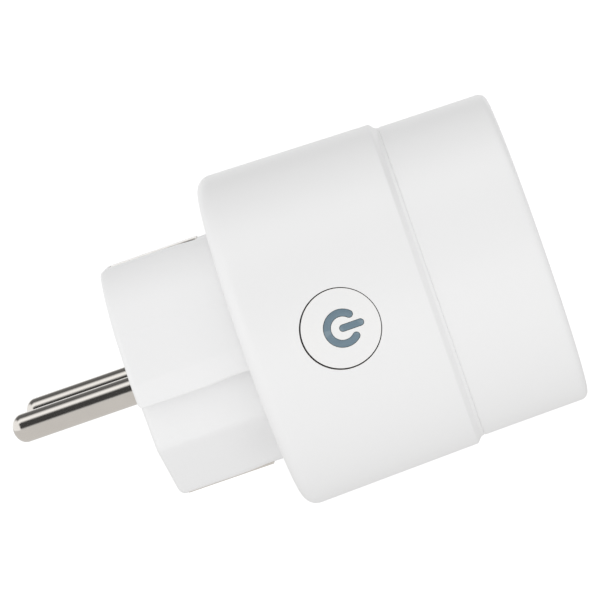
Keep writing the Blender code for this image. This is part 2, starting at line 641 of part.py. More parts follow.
# Power board and what stands on it ------------------------------------------
power_board = rod("power_board", BOARD_R, BOARD_FRONT_Y, BOARD_Y, GREEN_BOARD, 40)
for number, (x, z) in enumerate(screw_places()):
    cut(power_board, rod(f"board_hole_{number}", SCREW_R + GAP, BOARD_FRONT_Y - CUT_PAST,
                         BOARD_Y + CUT_PAST, None, 12, (x, 0, z)))
cut(power_board, rod("wire_hole", EARTH_WIRE_R + GAP, BOARD_FRONT_Y - CUT_PAST, BOARD_Y + CUT_PAST, None,
                     12, (0, 0, 0)))

relay_low = Vector((-RELAY.x / 2, PART_Y - RELAY.y, RELAY_Z - RELAY.z / 2))
relay_high = Vector((RELAY.x / 2, PART_Y, RELAY_Z + RELAY.z / 2))
block("relay", relay_low, relay_high, BLACK_PLASTIC)


def capped_can(name, radius, length, x, z, finish):
    """A round part with softened ends, standing on the power board."""
    end = PART_Y - length
    profile = [(0, end), (radius - CAN_EDGE, end), (radius, end + CAN_EDGE), (radius, PART_Y - CAN_EDGE),
               (radius - CAN_EDGE, PART_Y), (0, PART_Y)]
    return turned(name, profile, finish, 20, (x, 0, z))


capped_can("electrolytic_capacitor", CAPACITOR_R, CAPACITOR_LENGTH, CAPACITOR_X, CAPACITOR_Z, BLUE_SLEEVE)
capped_can("choke", CHOKE_R, CHOKE_LENGTH, CHOKE_X, CHOKE_Z, COPPER)
block("film_capacitor", (FILM_X, PART_Y - FILM_CAPACITOR.y, FILM_Z),
      (FILM_X + FILM_CAPACITOR.x, PART_Y, FILM_Z + FILM_CAPACITOR.z), YELLOW_FILM)
block("metering_chip", (CHIP_X, PART_Y - CHIP.y, CHIP_Z), (CHIP_X + CHIP.x, PART_Y, CHIP_Z + CHIP.z),
      BLACK_PLASTIC)
back_y = BOARD_Y + GAP
block("shunt_resistor", (SHUNT_X, back_y, SHUNT_Z), (SHUNT_X + SHUNT.x, back_y + SHUNT.y,
                                                     SHUNT_Z + SHUNT.z), COPPER)


def rounded_rod(name, radius, length, edge, finish, centre):
    """A round part lying along X with rounded ends."""
    half = length / 2
    profile = [(0, -half), (radius - edge, -half), (radius, edge - half), (radius, half - edge),
               (radius - edge, half),
               (0, half)]
    return turned(name, profile, finish, 20, centre, "X")


rounded_rod("varistor", VARISTOR_R, VARISTOR, VARISTOR / 4, BLUE_SLEEVE,
            (VARISTOR_X, back_y + VARISTOR_R + GAP, VARISTOR_Z))
rounded_rod("fuse_resistor", FUSE_R, FUSE_LENGTH, FUSE_R / 4, TAN_CERAMIC,
            (0, back_y + FUSE_R + GAP, FUSE_Z))

# Radio board on the far side --------------------------------------------------
side_board_front = PART_Y - 2 * GAP - SIDE_BOARD_LENGTH
half_board = SIDE_BOARD_WIDTH / 2
block("radio_board", (RADIO_BOARD_X - SIDE_BOARD_THICK, side_board_front, -half_board),
      (RADIO_BOARD_X, PART_Y, half_board), GREEN_BOARD)
block("radio_shield", (RADIO_BOARD_X + GAP, side_board_front + SHIELD_INSET, -SHIELD_WIDTH / 2),
      (RADIO_BOARD_X + GAP + SHIELD_HEIGHT, PART_Y - SHIELD_INSET, SHIELD_WIDTH / 2), STEEL)

# Button, switch and light -----------------------------------------------------
block("button_board", (BUTTON_BOARD_X, side_board_front, -half_board),
      (BUTTON_BOARD_X + SIDE_BOARD_THICK, PART_Y, half_board), GREEN_BOARD)
switch_half = SWITCH_SIZE / 2
switch_top = BUTTON_BOARD_X - GAP - SWITCH_HEIGHT
switch_body = block("switch_body", (switch_top, BUTTON_Y - switch_half, -switch_half),
                    (BUTTON_BOARD_X - GAP, BUTTON_Y + switch_half, switch_half), BLACK_PLASTIC)
cut(switch_body, rod("plunger_bore", PLUNGER_R + GAP, switch_top - CUT_PAST,
                     switch_top + PLUNGER_DEPTH + BUTTON_TRAVEL + GAP,
                     None, 20, (0, BUTTON_Y, 0), "X"))
plunger_tip = switch_top - PLUNGER_PROUD
rod("switch_plunger", PLUNGER_R, plunger_tip, switch_top + PLUNGER_DEPTH, GREY_PLASTIC, 20,
    (0, BUTTON_Y, 0), "X")
block("status_light",
      (BUTTON_BOARD_X - GAP - STATUS_LIGHT.x, BUTTON_Y - STATUS_LIGHT.y / 2,
       STATUS_LIGHT_Z - STATUS_LIGHT.z / 2),
      (BUTTON_BOARD_X - GAP, BUTTON_Y + STATUS_LIGHT.y / 2, STATUS_LIGHT_Z + STATUS_LIGHT.z / 2),
      CLEAR_LENS)

inner_wall_r = BODY_R_STEP - BODY_WALL
flange_out_x = -math.sqrt(inner_wall_r ** 2 - (BUTTON_FLANGE_R + GAP) ** 2) + GAP
flange_in_x = flange_out_x + BUTTON_FLANGE
cap_face_x = -BODY_R_STEP + BUTTON_FACE
power_button = rod("power_button", BUTTON_R, -BODY_R_REAR - CUT_PAST, flange_in_x, WHITE_SATIN, 40,
                   (0, BUTTON_Y, 0), "X")
skin = body_outer()
combine(power_button, turned("button_skin", [(0, HOUSING_FRONT_Y)] + skin + [(0, REAR_Y)], None,
                             ROUND_STEPS), "INTERSECT")
join(power_button, rod("button_flange", BUTTON_FLANGE_R, flange_out_x, flange_in_x, None, 32,
                       (0, BUTTON_Y, 0), "X"))
pocket = rod("button_pocket", GUIDE_DISC_R + GAP, cap_face_x, flange_in_x + CUT_PAST, None, 32,
             (0, BUTTON_Y, 0), "X")
cut(power_button, pocket)


def icon_arc(name, stroke, low_x, high_x):
    """The open ring of the power symbol, as a solid between two x values."""
    edit = bmesh.new()
    centre_y = BUTTON_Y - ICON_OFFSET
    steps = 20
    outline = []
    span = 2 * math.pi - 2 * ICON_GAP_ANGLE
    for radius, order in ((ICON_R + stroke / 2, range(steps + 1)),
                          (ICON_R - stroke / 2, range(steps, -1, -1))):
        for step in order:
            angle = -math.pi / 2 + ICON_GAP_ANGLE + span * step / steps
            outline.append((centre_y + radius * math.cos(angle), radius * math.sin(angle)))
    low = [edit.verts.new((low_x, y, z)) for y, z in outline]
    high = [edit.verts.new((high_x, y, z)) for y, z in outline]
    count = len(outline)
    for index in range(count):
        after = (index + 1) % count
        edit.faces.new((low[index], low[after], high[after], high[index]))
    for index in range(steps):
        mate = count - 1 - index
        edit.faces.new((low[index], low[index + 1], low[mate - 1], low[mate]))
        edit.faces.new((high[index], high[index + 1], high[mate - 1], high[mate]))
    return add_object(name, edit)


def icon_bar(name, stroke, reach, low_x, high_x):
    """The short bar of the power symbol, which points towards the socket."""
    centre_y = BUTTON_Y - ICON_OFFSET
    return block(name, (low_x, centre_y - ICON_BAR_LENGTH - reach, -stroke / 2),
                 (high_x, centre_y + reach, stroke / 2))


mark_x = -BODY_R_STEP + ICON_SINK
cut_out_x = -BODY_R_REAR - CUT_PAST
cut(power_button, icon_arc("arc_cut", ICON_STROKE + 2 * FINE_GAP, cut_out_x, cap_face_x + SINK),
    icon_bar("bar_cut", ICON_STROKE + 2 * FINE_GAP, FINE_GAP, cut_out_x, cap_face_x + SINK))
disc_out_x = cap_face_x + GAP
icon_light_guide = rod("icon_light_guide", GUIDE_DISC_R, disc_out_x, disc_out_x + GUIDE_DISC,
                       GREY_LIGHT_GUIDE, 28,
                       (0, BUTTON_Y, 0), "X")
join(icon_light_guide, icon_arc("arc_post", ICON_STROKE, mark_x, disc_out_x + SINK),
     icon_bar("bar_post", ICON_STROKE, 0.0, mark_x, disc_out_x + SINK),
     rod("guide_stem", GUIDE_STEM_R, disc_out_x + SINK, plunger_tip - GAP, None, 16, (0, BUTTON_Y, 0), "X"))

# Screws and earth wire -------------------------------------------
for number, (x, z) in enumerate(screw_places(), start=1):
    head_y = REAR_Y - GAP / 2
    neck_y = head_y - SCREW_HEAD + GAP / 2
    tip_y = PART_Y - SCREW_REACH
    screw = [(0, tip_y), (SCREW_R * 0.5, tip_y), (SCREW_R, tip_y + SCREW_R), (SCREW_R, neck_y),
             (SCREW_HEAD_R, neck_y),
             (SCREW_HEAD_R, head_y - GAP / 2), (SCREW_HEAD_R - GAP / 2, head_y), (0, head_y)]
    turned(f"housing_screw_{number}", screw, STEEL, 12, (x, 0, z))

wire_start = link_y - STRAP / 2 - GAP
wire_end = BOW_Y + STRAP + GAP
wire_points = []
for step in range(13):
    share = step / 12
    wire_points.append((0, wire_start + (wire_end - wire_start) * share, 0.0))
wire("earth_wire", wire_points, EARTH_WIRE_R, GREEN_WIRE)
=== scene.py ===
# %% [markdown]
# A plug-in power meter, built as a lesson in cells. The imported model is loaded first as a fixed
# frame, and the pieces made below take their places and main sizes from it. Pieces that show get a
# fine mesh of their own, which stands for the plain solid of the same name; pieces that stay inside
# keep their solid and get a proper finish.

import json
import math

import bmesh
import bpy
from mathutils import Matrix, Vector


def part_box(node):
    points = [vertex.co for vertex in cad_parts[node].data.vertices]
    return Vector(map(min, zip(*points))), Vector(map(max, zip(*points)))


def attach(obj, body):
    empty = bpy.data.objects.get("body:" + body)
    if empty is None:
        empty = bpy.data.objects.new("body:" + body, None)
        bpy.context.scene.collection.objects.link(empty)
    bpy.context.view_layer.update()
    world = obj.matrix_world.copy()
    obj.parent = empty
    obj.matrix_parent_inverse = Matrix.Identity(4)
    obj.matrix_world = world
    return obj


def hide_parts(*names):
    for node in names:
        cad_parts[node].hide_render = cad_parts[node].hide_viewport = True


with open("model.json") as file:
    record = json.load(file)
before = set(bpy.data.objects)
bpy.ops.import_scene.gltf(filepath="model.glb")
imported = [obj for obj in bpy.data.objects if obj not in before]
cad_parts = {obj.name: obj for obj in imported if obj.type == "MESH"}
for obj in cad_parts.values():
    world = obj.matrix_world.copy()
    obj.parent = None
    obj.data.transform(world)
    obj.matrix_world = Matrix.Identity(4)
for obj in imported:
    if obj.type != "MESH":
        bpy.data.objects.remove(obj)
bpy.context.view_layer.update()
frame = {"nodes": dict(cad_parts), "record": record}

# %% [markdown]
# Sizes are read from the frame's boxes, so that they follow the model if it changes. A turned
# shell only needs its two ends and its radii; the small roundings are this script's own choice.

# %% Read the sizes
def box_of(node):
    low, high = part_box(node)
    return Vector(low), Vector(high)


housing_low, housing_high = box_of("main_housing")
cover_low, cover_high = box_of("front_cover")
insert_low, insert_high = box_of("plug_insert")
cap_low, cap_high = box_of("power_button")
guide_low, guide_high = box_of("icon_light_guide")
pin_low, pin_high = box_of("line_pin")

REAR_Y = housing_high.y
JOINT_Y = housing_low.y
FRONT_Y = cover_low.y
BODY_R = housing_high.x
COVER_R = cover_high.x
FACE_Y = insert_high.y
BUTTON_Y = (cap_low.y + cap_high.y) / 2
PIN_X = (pin_low.x + pin_high.x) / 2
PIN_TIP_Y = pin_high.y
SHOULDER = 0.0014
REAR_ROUND = 0.0022
STEP_R = BODY_R - 0.00068
COVER_FRONT_R = COVER_R - 0.00024
SEAM = 0.00001
SEAM_ROUND = 0.00030
SEAM_DEPTH = 0.00012
print(f"rear {REAR_Y:.4f}, joint {JOINT_Y:.4f}, front {FRONT_Y:.4f}, radius {BODY_R:.4f}")

# %% [markdown]
# The camera looks square at the side with the push button, a few degrees from above and rolled,
# as when the meter is held by hand at a slant. A long lens keeps the two pins almost parallel.

# %% Camera
CAMERA_PLACE = Vector((-0.43341, -0.04430, 0.03728))
CAMERA_AIM = Vector((0.0, -0.02577, 0.00369))
CAMERA_ROLL = math.radians(19.32)
camera_data = bpy.data.cameras.new("studio_camera")
camera_data.lens = 178.4
camera_data.sensor_width = 36.0
camera_data.clip_start = 0.01
camera = bpy.data.objects.new("studio_camera", camera_data)
bpy.context.scene.collection.objects.link(camera)
look = (CAMERA_AIM - CAMERA_PLACE).to_track_quat("-Z", "Y").to_matrix().to_4x4()
camera.matrix_world = Matrix.Translation(CAMERA_PLACE) @ look @ Matrix.Rotation(-CAMERA_ROLL, 4, "Z")
bpy.context.scene.camera = camera
print("camera is", round((CAMERA_AIM - CAMERA_PLACE).length, 3), "m from its aim")

# %% [markdown]
# White plastic on white needs soft light that is not the same from all sides, or its form is lost.
# For soft light the room is a pale dome, a little brighter low beside the camera and towards the
# pins. Polished metal needs dark and light to mirror, so mirror-like rays see a dark card, one soft
# box and pale walls instead. A weak panel lights the rear end.

# %% Room and lights
DIFFUSE_BASE = 0.86
DIFFUSE_SLOPE = 0.25
DIFFUSE_AIM = math.radians(-20)
PIN_SIDE_GAIN = 0.14
WINDOW_START = 0.55
WINDOW_END = 0.70
BACKDROP_STRENGTH = 1.1
# Angle round the meter's long axis (0 at the camera, 90 overhead), and the grey level seen there.
MIRROR_STOPS = ((-180, 0.7), (0, 0.7), (10, 0.05), (50, 0.05), (65, 1.1), (80, 1.1),
                (100, 0.1), (140, 0.2), (160, 1.0), (180, 1.0))
world = bpy.data.worlds.new("studio_room")
bpy.context.scene.world = world
world.use_nodes = True
room = world.node_tree
room.nodes.clear()
room_place = room.nodes.new("ShaderNodeTexCoord")
room_path = room.nodes.new("ShaderNodeLightPath")


def room_math(operation, first, second):
    """A maths node in the room, fed by sockets or plain numbers."""
    node = room.nodes.new("ShaderNodeMath")
    node.operation = operation
    for socket, value in zip(node.inputs, (first, second)):
        if isinstance(value, (int, float)):
            socket.default_value = value
        else:
            room.links.new(value, socket)
    return node.outputs["Value"]


def room_light(colour, strength):
    """A background shader; either value can be a socket."""
    node = room.nodes.new("ShaderNodeBackground")
    for socket, value in ((node.inputs["Color"], colour), (node.inputs["Strength"], strength)):
        if isinstance(value, (tuple, float)):
            socket.default_value = value
        else:
            room.links.new(value, socket)
    return node.outputs["Background"]


def room_choice(chance, first, second):
    """One of two shaders, by a ray's kind."""
    node = room.nodes.new("ShaderNodeMixShader")
    room.links.new(chance, node.inputs["Fac"])
    room.links.new(first, node.inputs[1])
    room.links.new(second, node.inputs[2])
    return node.outputs["Shader"]


WHITE = (1.0, 1.0, 1.0, 1.0)
room_split = room.nodes.new("ShaderNodeSeparateXYZ")
room.links.new(room_place.outputs["Generated"], room_split.inputs["Vector"])
towards_camera = room_math("MULTIPLY", room_split.outputs["X"], -1.0)
facing = room_math("ADD", room_math("MULTIPLY", towards_camera, math.cos(DIFFUSE_AIM)),
                   room_math("MULTIPLY", room_split.outputs["Z"], math.sin(DIFFUSE_AIM)))
pin_side = room_split.outputs["Y"]
soft_level = room_math("ADD", room_math("ADD", room_math("MULTIPLY", facing, DIFFUSE_SLOPE), DIFFUSE_BASE),
                       room_math("MULTIPLY", pin_side, PIN_SIDE_GAIN))
turn_about = room_math("ARCTAN2", room_split.outputs["Z"], towards_camera)
turn_share = room_math("ADD", room_math("DIVIDE", turn_about, 2 * math.pi), 0.5)
mirror_ramp = room.nodes.new("ShaderNodeValToRGB")
while len(mirror_ramp.color_ramp.elements) < len(MIRROR_STOPS):
    mirror_ramp.color_ramp.elements.new(0.5)
for stop, (degrees, grey) in zip(mirror_ramp.color_ramp.elements, MIRROR_STOPS):
    stop.position = degrees / 360 + 0.5
    stop.color = (grey, grey, grey, 1.0)
room.links.new(turn_share, mirror_ramp.inputs["Fac"])
window = room.nodes.new("ShaderNodeMapRange")
window.inputs["From Min"].default_value = WINDOW_START
window.inputs["From Max"].default_value = WINDOW_END
room.links.new(pin_side, window.inputs["Value"])
mirror_light = room_choice(window.outputs["Result"], room_light(mirror_ramp.outputs["Color"], 1.0),
                           room_light(WHITE, 1.0))
soft_or_mirror = room_choice(room_path.outputs["Is Glossy Ray"], room_light(WHITE, soft_level), mirror_light)
room_out = room.nodes.new("ShaderNodeOutputWorld")
room.links.new(room_choice(room_path.outputs["Is Camera Ray"], soft_or_mirror,
                           room_light(WHITE, BACKDROP_STRENGTH)),
               room_out.inputs["Surface"])
bpy.context.scene.view_settings.view_transform = "Standard"
bpy.context.scene.view_settings.look = "None"


def panel_light(name, place, aim, size, power):
    """A square soft light that faces aim."""
    data = bpy.data.lights.new(name, "AREA")
    data.shape = "SQUARE"
    data.size = size
    data.energy = power
    lamp = bpy.data.objects.new(name, data)
    bpy.context.scene.collection.objects.link(lamp)
    place = Vector(place)
    turned = (Vector(aim) - place).to_track_quat("-Z", "Y").to_matrix().to_4x4()
    lamp.matrix_world = Matrix.Translation(place) @ turned
    return lamp


MIDDLE = Vector((0.0, (FRONT_Y + PIN_TIP_Y) / 2, 0.0))
rear_lamp = panel_light("rear_panel", (-0.30, 0.16, 0.02), MIDDLE, 0.12, 0.02)
rear_lamp.visible_glossy = False
print("soft light from", DIFFUSE_BASE - DIFFUSE_SLOPE, "behind to", DIFFUSE_BASE + DIFFUSE_SLOPE,
      "beside the camera")

# %% [markdown]
# The floor is a pale sheet well below the meter. It shines by itself, with the same slope of
# brightness as the room, and is an even white to the camera.

# %% Floor
FLOOR_DROP = 0.16
FLOOR_BASE = 0.72
FLOOR_SLOPE = 0.28
FLOOR_TINT = (0.68, 0.67, 0.66, 1.0)
floor_mesh = bpy.data.meshes.new("studio_floor")
floor_edit = bmesh.new()
bmesh.ops.create_circle(floor_edit, cap_ends=True, radius=6.0, segments=64,
                        matrix=Matrix.Translation((0, 0, -FLOOR_DROP)))
floor_edit.to_mesh(floor_mesh)
floor_edit.free()
floor = bpy.data.objects.new("studio_floor", floor_mesh)
bpy.context.scene.collection.objects.link(floor)
floor_paint = bpy.data.materials.new("pale_floor")
floor_paint.use_nodes = True
paint = floor_paint.node_tree
paint.nodes.clear()
floor_path = paint.nodes.new("ShaderNodeLightPath")
floor_seen_from = paint.nodes.new("ShaderNodeNewGeometry")
floor_facing = paint.nodes.new("ShaderNodeVectorMath")
floor_facing.operation = "DOT_PRODUCT"
floor_facing.inputs[1].default_value = (math.cos(DIFFUSE_AIM), 0.0, -math.sin(DIFFUSE_AIM))
paint.links.new(floor_seen_from.outputs["Incoming"], floor_facing.inputs[0])
floor_level = paint.nodes.new("ShaderNodeMapRange")
floor_level.clamp = False
floor_level.inputs["To Min"].default_value = FLOOR_BASE
floor_level.inputs["To Max"].default_value = FLOOR_BASE + FLOOR_SLOPE
paint.links.new(floor_facing.outputs["Value"], floor_level.inputs["Value"])


def floor_glow(colour, strength):
    """One of the floor's three ways to shine; the strength can be a socket."""
    glow = paint.nodes.new("ShaderNodeEmission")
    glow.inputs["Color"].default_value = colour
    if isinstance(strength, float):
        glow.inputs["Strength"].default_value = strength
    else:
        paint.links.new(strength, glow.inputs["Strength"])
    return glow.outputs["Emission"]


floor_shine = floor_glow(WHITE, floor_level.outputs["Result"])
for kind, other in (("Is Glossy Ray", floor_glow(FLOOR_TINT, 1.0)),
                    ("Is Camera Ray", floor_glow(WHITE, BACKDROP_STRENGTH))):
    floor_choice = paint.nodes.new("ShaderNodeMixShader")
    paint.links.new(floor_path.outputs[kind], floor_choice.inputs["Fac"])
    paint.links.new(floor_shine, floor_choice.inputs[1])
    paint.links.new(other, floor_choice.inputs[2])
    floor_shine = floor_choice.outputs["Shader"]
floor_out = paint.nodes.new("ShaderNodeOutputMaterial")
paint.links.new(floor_shine, floor_out.inputs["Surface"])
floor_mesh.materials.append(floor_paint)
print("floor lies", FLOOR_DROP, "m below the plug axis")

# %% [markdown]
# Effects that several finishes share are node groups: each is built once, with named inputs, and
# placed in a material with that material's own values. They put out only masks, colours and
# heights. The plastic's surface comes from the mould, so its texture is a faint orange peel.

# %% Shared effects
def effect_group(name, inputs, outputs):
    """A shader node group with float or colour inputs and outputs."""
    group = bpy.data.node_groups.new(name, "ShaderNodeTree")
    for label, kind, value in inputs:
        socket = group.interface.new_socket(label, in_out="INPUT", socket_type=kind)
        if value is not None:
            socket.default_value = value
    for label, kind in outputs:
        group.interface.new_socket(label, in_out="OUTPUT", socket_type=kind)
    entry = group.nodes.new("NodeGroupInput")
    leave = group.nodes.new("NodeGroupOutput")
    return group, entry, leave


FLOAT = "NodeSocketFloat"
COLOUR = "NodeSocketColor"


def noise_node(group, entry, place, scale_input, detail):
    """A noise texture on object coordinates, scaled by a group input."""
    noise = group.nodes.new("ShaderNodeTexNoise")
    noise.inputs["Detail"].default_value = detail
    group.links.new(place.outputs["Object"], noise.inputs["Vector"])
    group.links.new(entry.outputs[scale_input], noise.inputs["Scale"])
    return noise


def make_orange_peel():
    """Soft bumps of a polished mould."""
    group, entry, leave = effect_group("orange_peel", (("Scale", FLOAT, 900.0),), (("Height", FLOAT),))
    place = group.nodes.new("ShaderNodeTexCoord")
    noise = noise_node(group, entry, place, "Scale", 1.0)
    group.links.new(noise.outputs["Fac"], leave.inputs["Height"])
    return group


def make_mottle():
    """Two colours mixed by a cloudy noise."""
    group, entry, leave = effect_group(
        "cloudy_mottle", (("Scale", FLOAT, 120.0), ("Colour A", COLOUR, None), ("Colour B", COLOUR, None)),
        (("Colour", COLOUR), ("Mask", FLOAT)))
    place = group.nodes.new("ShaderNodeTexCoord")
    noise = noise_node(group, entry, place, "Scale", 3.0)
    mix = group.nodes.new("ShaderNodeMix")
    mix.data_type = "RGBA"
    group.links.new(noise.outputs["Fac"], mix.inputs["Factor"])
    group.links.new(entry.outputs["Colour A"], mix.inputs["A"])
    group.links.new(entry.outputs["Colour B"], mix.inputs["B"])
    group.links.new(mix.outputs["Result"], leave.inputs["Colour"])
    group.links.new(noise.outputs["Fac"], leave.inputs["Mask"])
    return group


def make_specks():
    """Rare small specks and scuffs: 1 where there is one."""
    group, entry, leave = effect_group(
        "handling_specks", (("Scale", FLOAT, 160.0), ("Size", FLOAT, 0.06), ("Rarity", FLOAT, 0.72)),
        (("Mask", FLOAT),))
    place = group.nodes.new("ShaderNodeTexCoord")
    cells = group.nodes.new("ShaderNodeTexVoronoi")
    group.links.new(place.outputs["Object"], cells.inputs["Vector"])
    group.links.new(entry.outputs["Scale"], cells.inputs["Scale"])
    near = group.nodes.new("ShaderNodeMath")
    near.operation = "LESS_THAN"
    group.links.new(cells.outputs["Distance"], near.inputs[0])
    group.links.new(entry.outputs["Size"], near.inputs[1])
    split = group.nodes.new("ShaderNodeSeparateColor")
    group.links.new(cells.outputs["Color"], split.inputs["Color"])
    rare = group.nodes.new("ShaderNodeMath")
    rare.operation = "GREATER_THAN"
    group.links.new(split.outputs["Red"], rare.inputs[0])
    group.links.new(entry.outputs["Rarity"], rare.inputs[1])
    both = group.nodes.new("ShaderNodeMath")
    both.operation = "MULTIPLY"
    group.links.new(near.outputs[0], both.inputs[0])
    group.links.new(rare.outputs[0], both.inputs[1])
    group.links.new(both.outputs[0], leave.inputs["Mask"])
    return group


def make_worn_edges():
    """1 along outer edges, where handling polishes and soils a part."""
    group, entry, leave = effect_group("worn_edges", (("Start", FLOAT, 0.52), ("End", FLOAT, 0.60)),
                                       (("Mask", FLOAT),))
    geometry = group.nodes.new("ShaderNodeNewGeometry")
    spread = group.nodes.new("ShaderNodeMapRange")
    group.links.new(geometry.outputs["Pointiness"], spread.inputs["Value"])
    group.links.new(entry.outputs["Start"], spread.inputs["From Min"])
    group.links.new(entry.outputs["End"], spread.inputs["From Max"])
    group.links.new(spread.outputs["Result"], leave.inputs["Mask"])
    return group


def make_turning_lines():
    """Fine rings round a turned or drawn part that lies along Y."""
    group, entry, leave = effect_group("turning_lines", (("Scale", FLOAT, 4000.0), ("Wander", FLOAT, 0.4)),
                                       (("Height", FLOAT),))
    place = group.nodes.new("ShaderNodeTexCoord")
    bands = group.nodes.new("ShaderNodeTexWave")
    bands.bands_direction = "Y"
    bands.inputs["Detail"].default_value = 2.0
    group.links.new(place.outputs["Object"], bands.inputs["Vector"])
    group.links.new(entry.outputs["Scale"], bands.inputs["Scale"])
    group.links.new(entry.outputs["Wander"], bands.inputs["Distortion"])
    group.links.new(bands.outputs["Fac"], leave.inputs["Height"])
    return group


ORANGE_PEEL = make_orange_peel()
MOTTLE = make_mottle()
SPECKS = make_specks()
WORN_EDGES = make_worn_edges()
TURNING_LINES = make_turning_lines()
print("shared effects:", ", ".join(group.name for group in bpy.data.node_groups))

# %% [markdown]
# A finish is a Principled material. Values that are the same all over sit on the shader itself;
# what changes over the surface comes from the groups, through base colour, roughness and a bump.

# %% Finishes
def put_group(tree, group, **values):
    """Place a group node in a material and set its inputs."""
    node = tree.nodes.new("ShaderNodeGroup")
    node.node_tree = group
    for label, value in values.items():
        node.inputs[label.replace("_", " ")].default_value = value
    return node


def plain_finish(name, colour, roughness, metallic=0.0, variation=0.06, scale=120.0, coat=0.0, specular=0.5):
    """A cloudy two-tone finish: the start of every material here."""
    made = bpy.data.materials.new(name)
    made.use_nodes = True
    tree = made.node_tree
    shader = tree.nodes["Principled BSDF"]
    shader.inputs["Metallic"].default_value = metallic
    shader.inputs["Roughness"].default_value = roughness
    shader.inputs["Coat Weight"].default_value = coat
    shader.inputs["Specular IOR Level"].default_value = specular
    dark = (*[channel * (1.0 - variation) for channel in colour], 1.0)
    light = (*[min(1.0, channel * (1.0 + variation)) for channel in colour], 1.0)
    mottle = put_group(tree, MOTTLE, Scale=scale, Colour_A=dark, Colour_B=light)
    tree.links.new(mottle.outputs["Colour"], shader.inputs["Base Color"])
    made.diffuse_color = (*colour, 1.0)
    return made, tree, shader, mottle


def add_bump(tree, shader, height, distance, strength=1.0):
    bump = tree.nodes.new("ShaderNodeBump")
    bump.inputs["Distance"].default_value = distance
    bump.inputs["Strength"].default_value = strength
    tree.links.new(height, bump.inputs["Height"])
    tree.links.new(bump.outputs["Normal"], shader.inputs["Normal"])
    return bump


def vary_roughness(tree, shader, mask, low, high):
    """Let a mask carry the roughness from low to high."""
    spread = tree.nodes.new("ShaderNodeMapRange")
    spread.inputs["To Min"].default_value = low
    spread.inputs["To Max"].default_value = high
    tree.links.new(mask, spread.inputs["Value"])
    tree.links.new(spread.outputs["Result"], shader.inputs["Roughness"])


def stain(tree, shader, mask, colour, amount):
    """Lay a colour over the base colour where a mask says so."""
    under = shader.inputs["Base Color"].links[0].from_socket
    weight = tree.nodes.new("ShaderNodeMath")
    weight.operation = "MULTIPLY"
    weight.inputs[1].default_value = amount
    tree.links.new(mask, weight.inputs[0])
    mix = tree.nodes.new("ShaderNodeMix")
    mix.data_type = "RGBA"
    mix.inputs["B"].default_value = (*colour, 1.0)
    tree.links.new(weight.outputs[0], mix.inputs["Factor"])
    tree.links.new(under, mix.inputs["A"])
    tree.links.new(mix.outputs["Result"], shader.inputs["Base Color"])


def white_plastic(name, colour, low, high, peel, speck_rarity):
    """Glossy or satin white plastic with orange peel, faint handling marks and rubbed edges."""
    made, tree, shader, mottle = plain_finish(name, colour, low, variation=0.004, scale=90.0)
    vary_roughness(tree, shader, mottle.outputs["Mask"], low, high)
    height = put_group(tree, ORANGE_PEEL, Scale=peel)
    add_bump(tree, shader, height.outputs["Height"], 0.000008)
    specks = put_group(tree, SPECKS, Scale=110.0, Size=0.028, Rarity=speck_rarity)
    stain(tree, shader, specks.outputs["Mask"], (0.62, 0.60, 0.57), 0.5)
    edges = put_group(tree, WORN_EDGES, Start=0.56, End=0.75)
    stain(tree, shader, edges.outputs["Mask"], (0.93, 0.92, 0.90), 0.25)
    return made


SHELL_WHITE = white_plastic("shell_white", (0.905, 0.905, 0.905), 0.30, 0.40, 700.0, 0.93)
PLUG_WHITE = white_plastic("plug_white", (0.91, 0.91, 0.912), 0.34, 0.44, 900.0, 0.90)
CAP_WHITE = white_plastic("cap_white", (0.91, 0.908, 0.905), 0.30, 0.38, 1200.0, 0.97)
print("white plastics made")

# %% [markdown]
# Metals: the pins are nickel-plated brass, drawn and polished, so they mirror the room and show
# fine rings. Strips are rolled steel or brass. Dark parts inside are matt moulded cases.

# %% Metals and inside finishes
def metal_finish(name, colour, low, high, ring_scale, ring_depth, variation=0.05):
    """Bare or plated metal with rings from turning and cloudy roughness."""
    made, tree, shader, mottle = plain_finish(name, colour, low, metallic=1.0,
                                              variation=variation, scale=300.0)
    vary_roughness(tree, shader, mottle.outputs["Mask"], low, high)
    rings = put_group(tree, TURNING_LINES, Scale=ring_scale, Wander=0.6)
    add_bump(tree, shader, rings.outputs["Height"], ring_depth)
    edges = put_group(tree, WORN_EDGES, Start=0.53, End=0.62)
    stain(tree, shader, edges.outputs["Mask"], [min(1.0, channel * 1.15) for channel in colour], 0.6)
    return made


def inside_finish(name, colour, roughness, metallic=0.0, grain=2500.0, depth=0.00001, variation=0.12):
    """A plain technical part: cloudy colour, a grain, and lighter rubbed edges."""
    made, tree, shader, mottle = plain_finish(name, colour, roughness, metallic, variation, 400.0)
    vary_roughness(tree, shader, mottle.outputs["Mask"], roughness * 0.85, min(1.0, roughness * 1.2))
    height = put_group(tree, ORANGE_PEEL, Scale=grain)
    add_bump(tree, shader, height.outputs["Height"], depth)
    edges = put_group(tree, WORN_EDGES, Start=0.54, End=0.66)
    stain(tree, shader, edges.outputs["Mask"], [min(1.0, channel * 1.4 + 0.03) for channel in colour], 0.5)
    return made


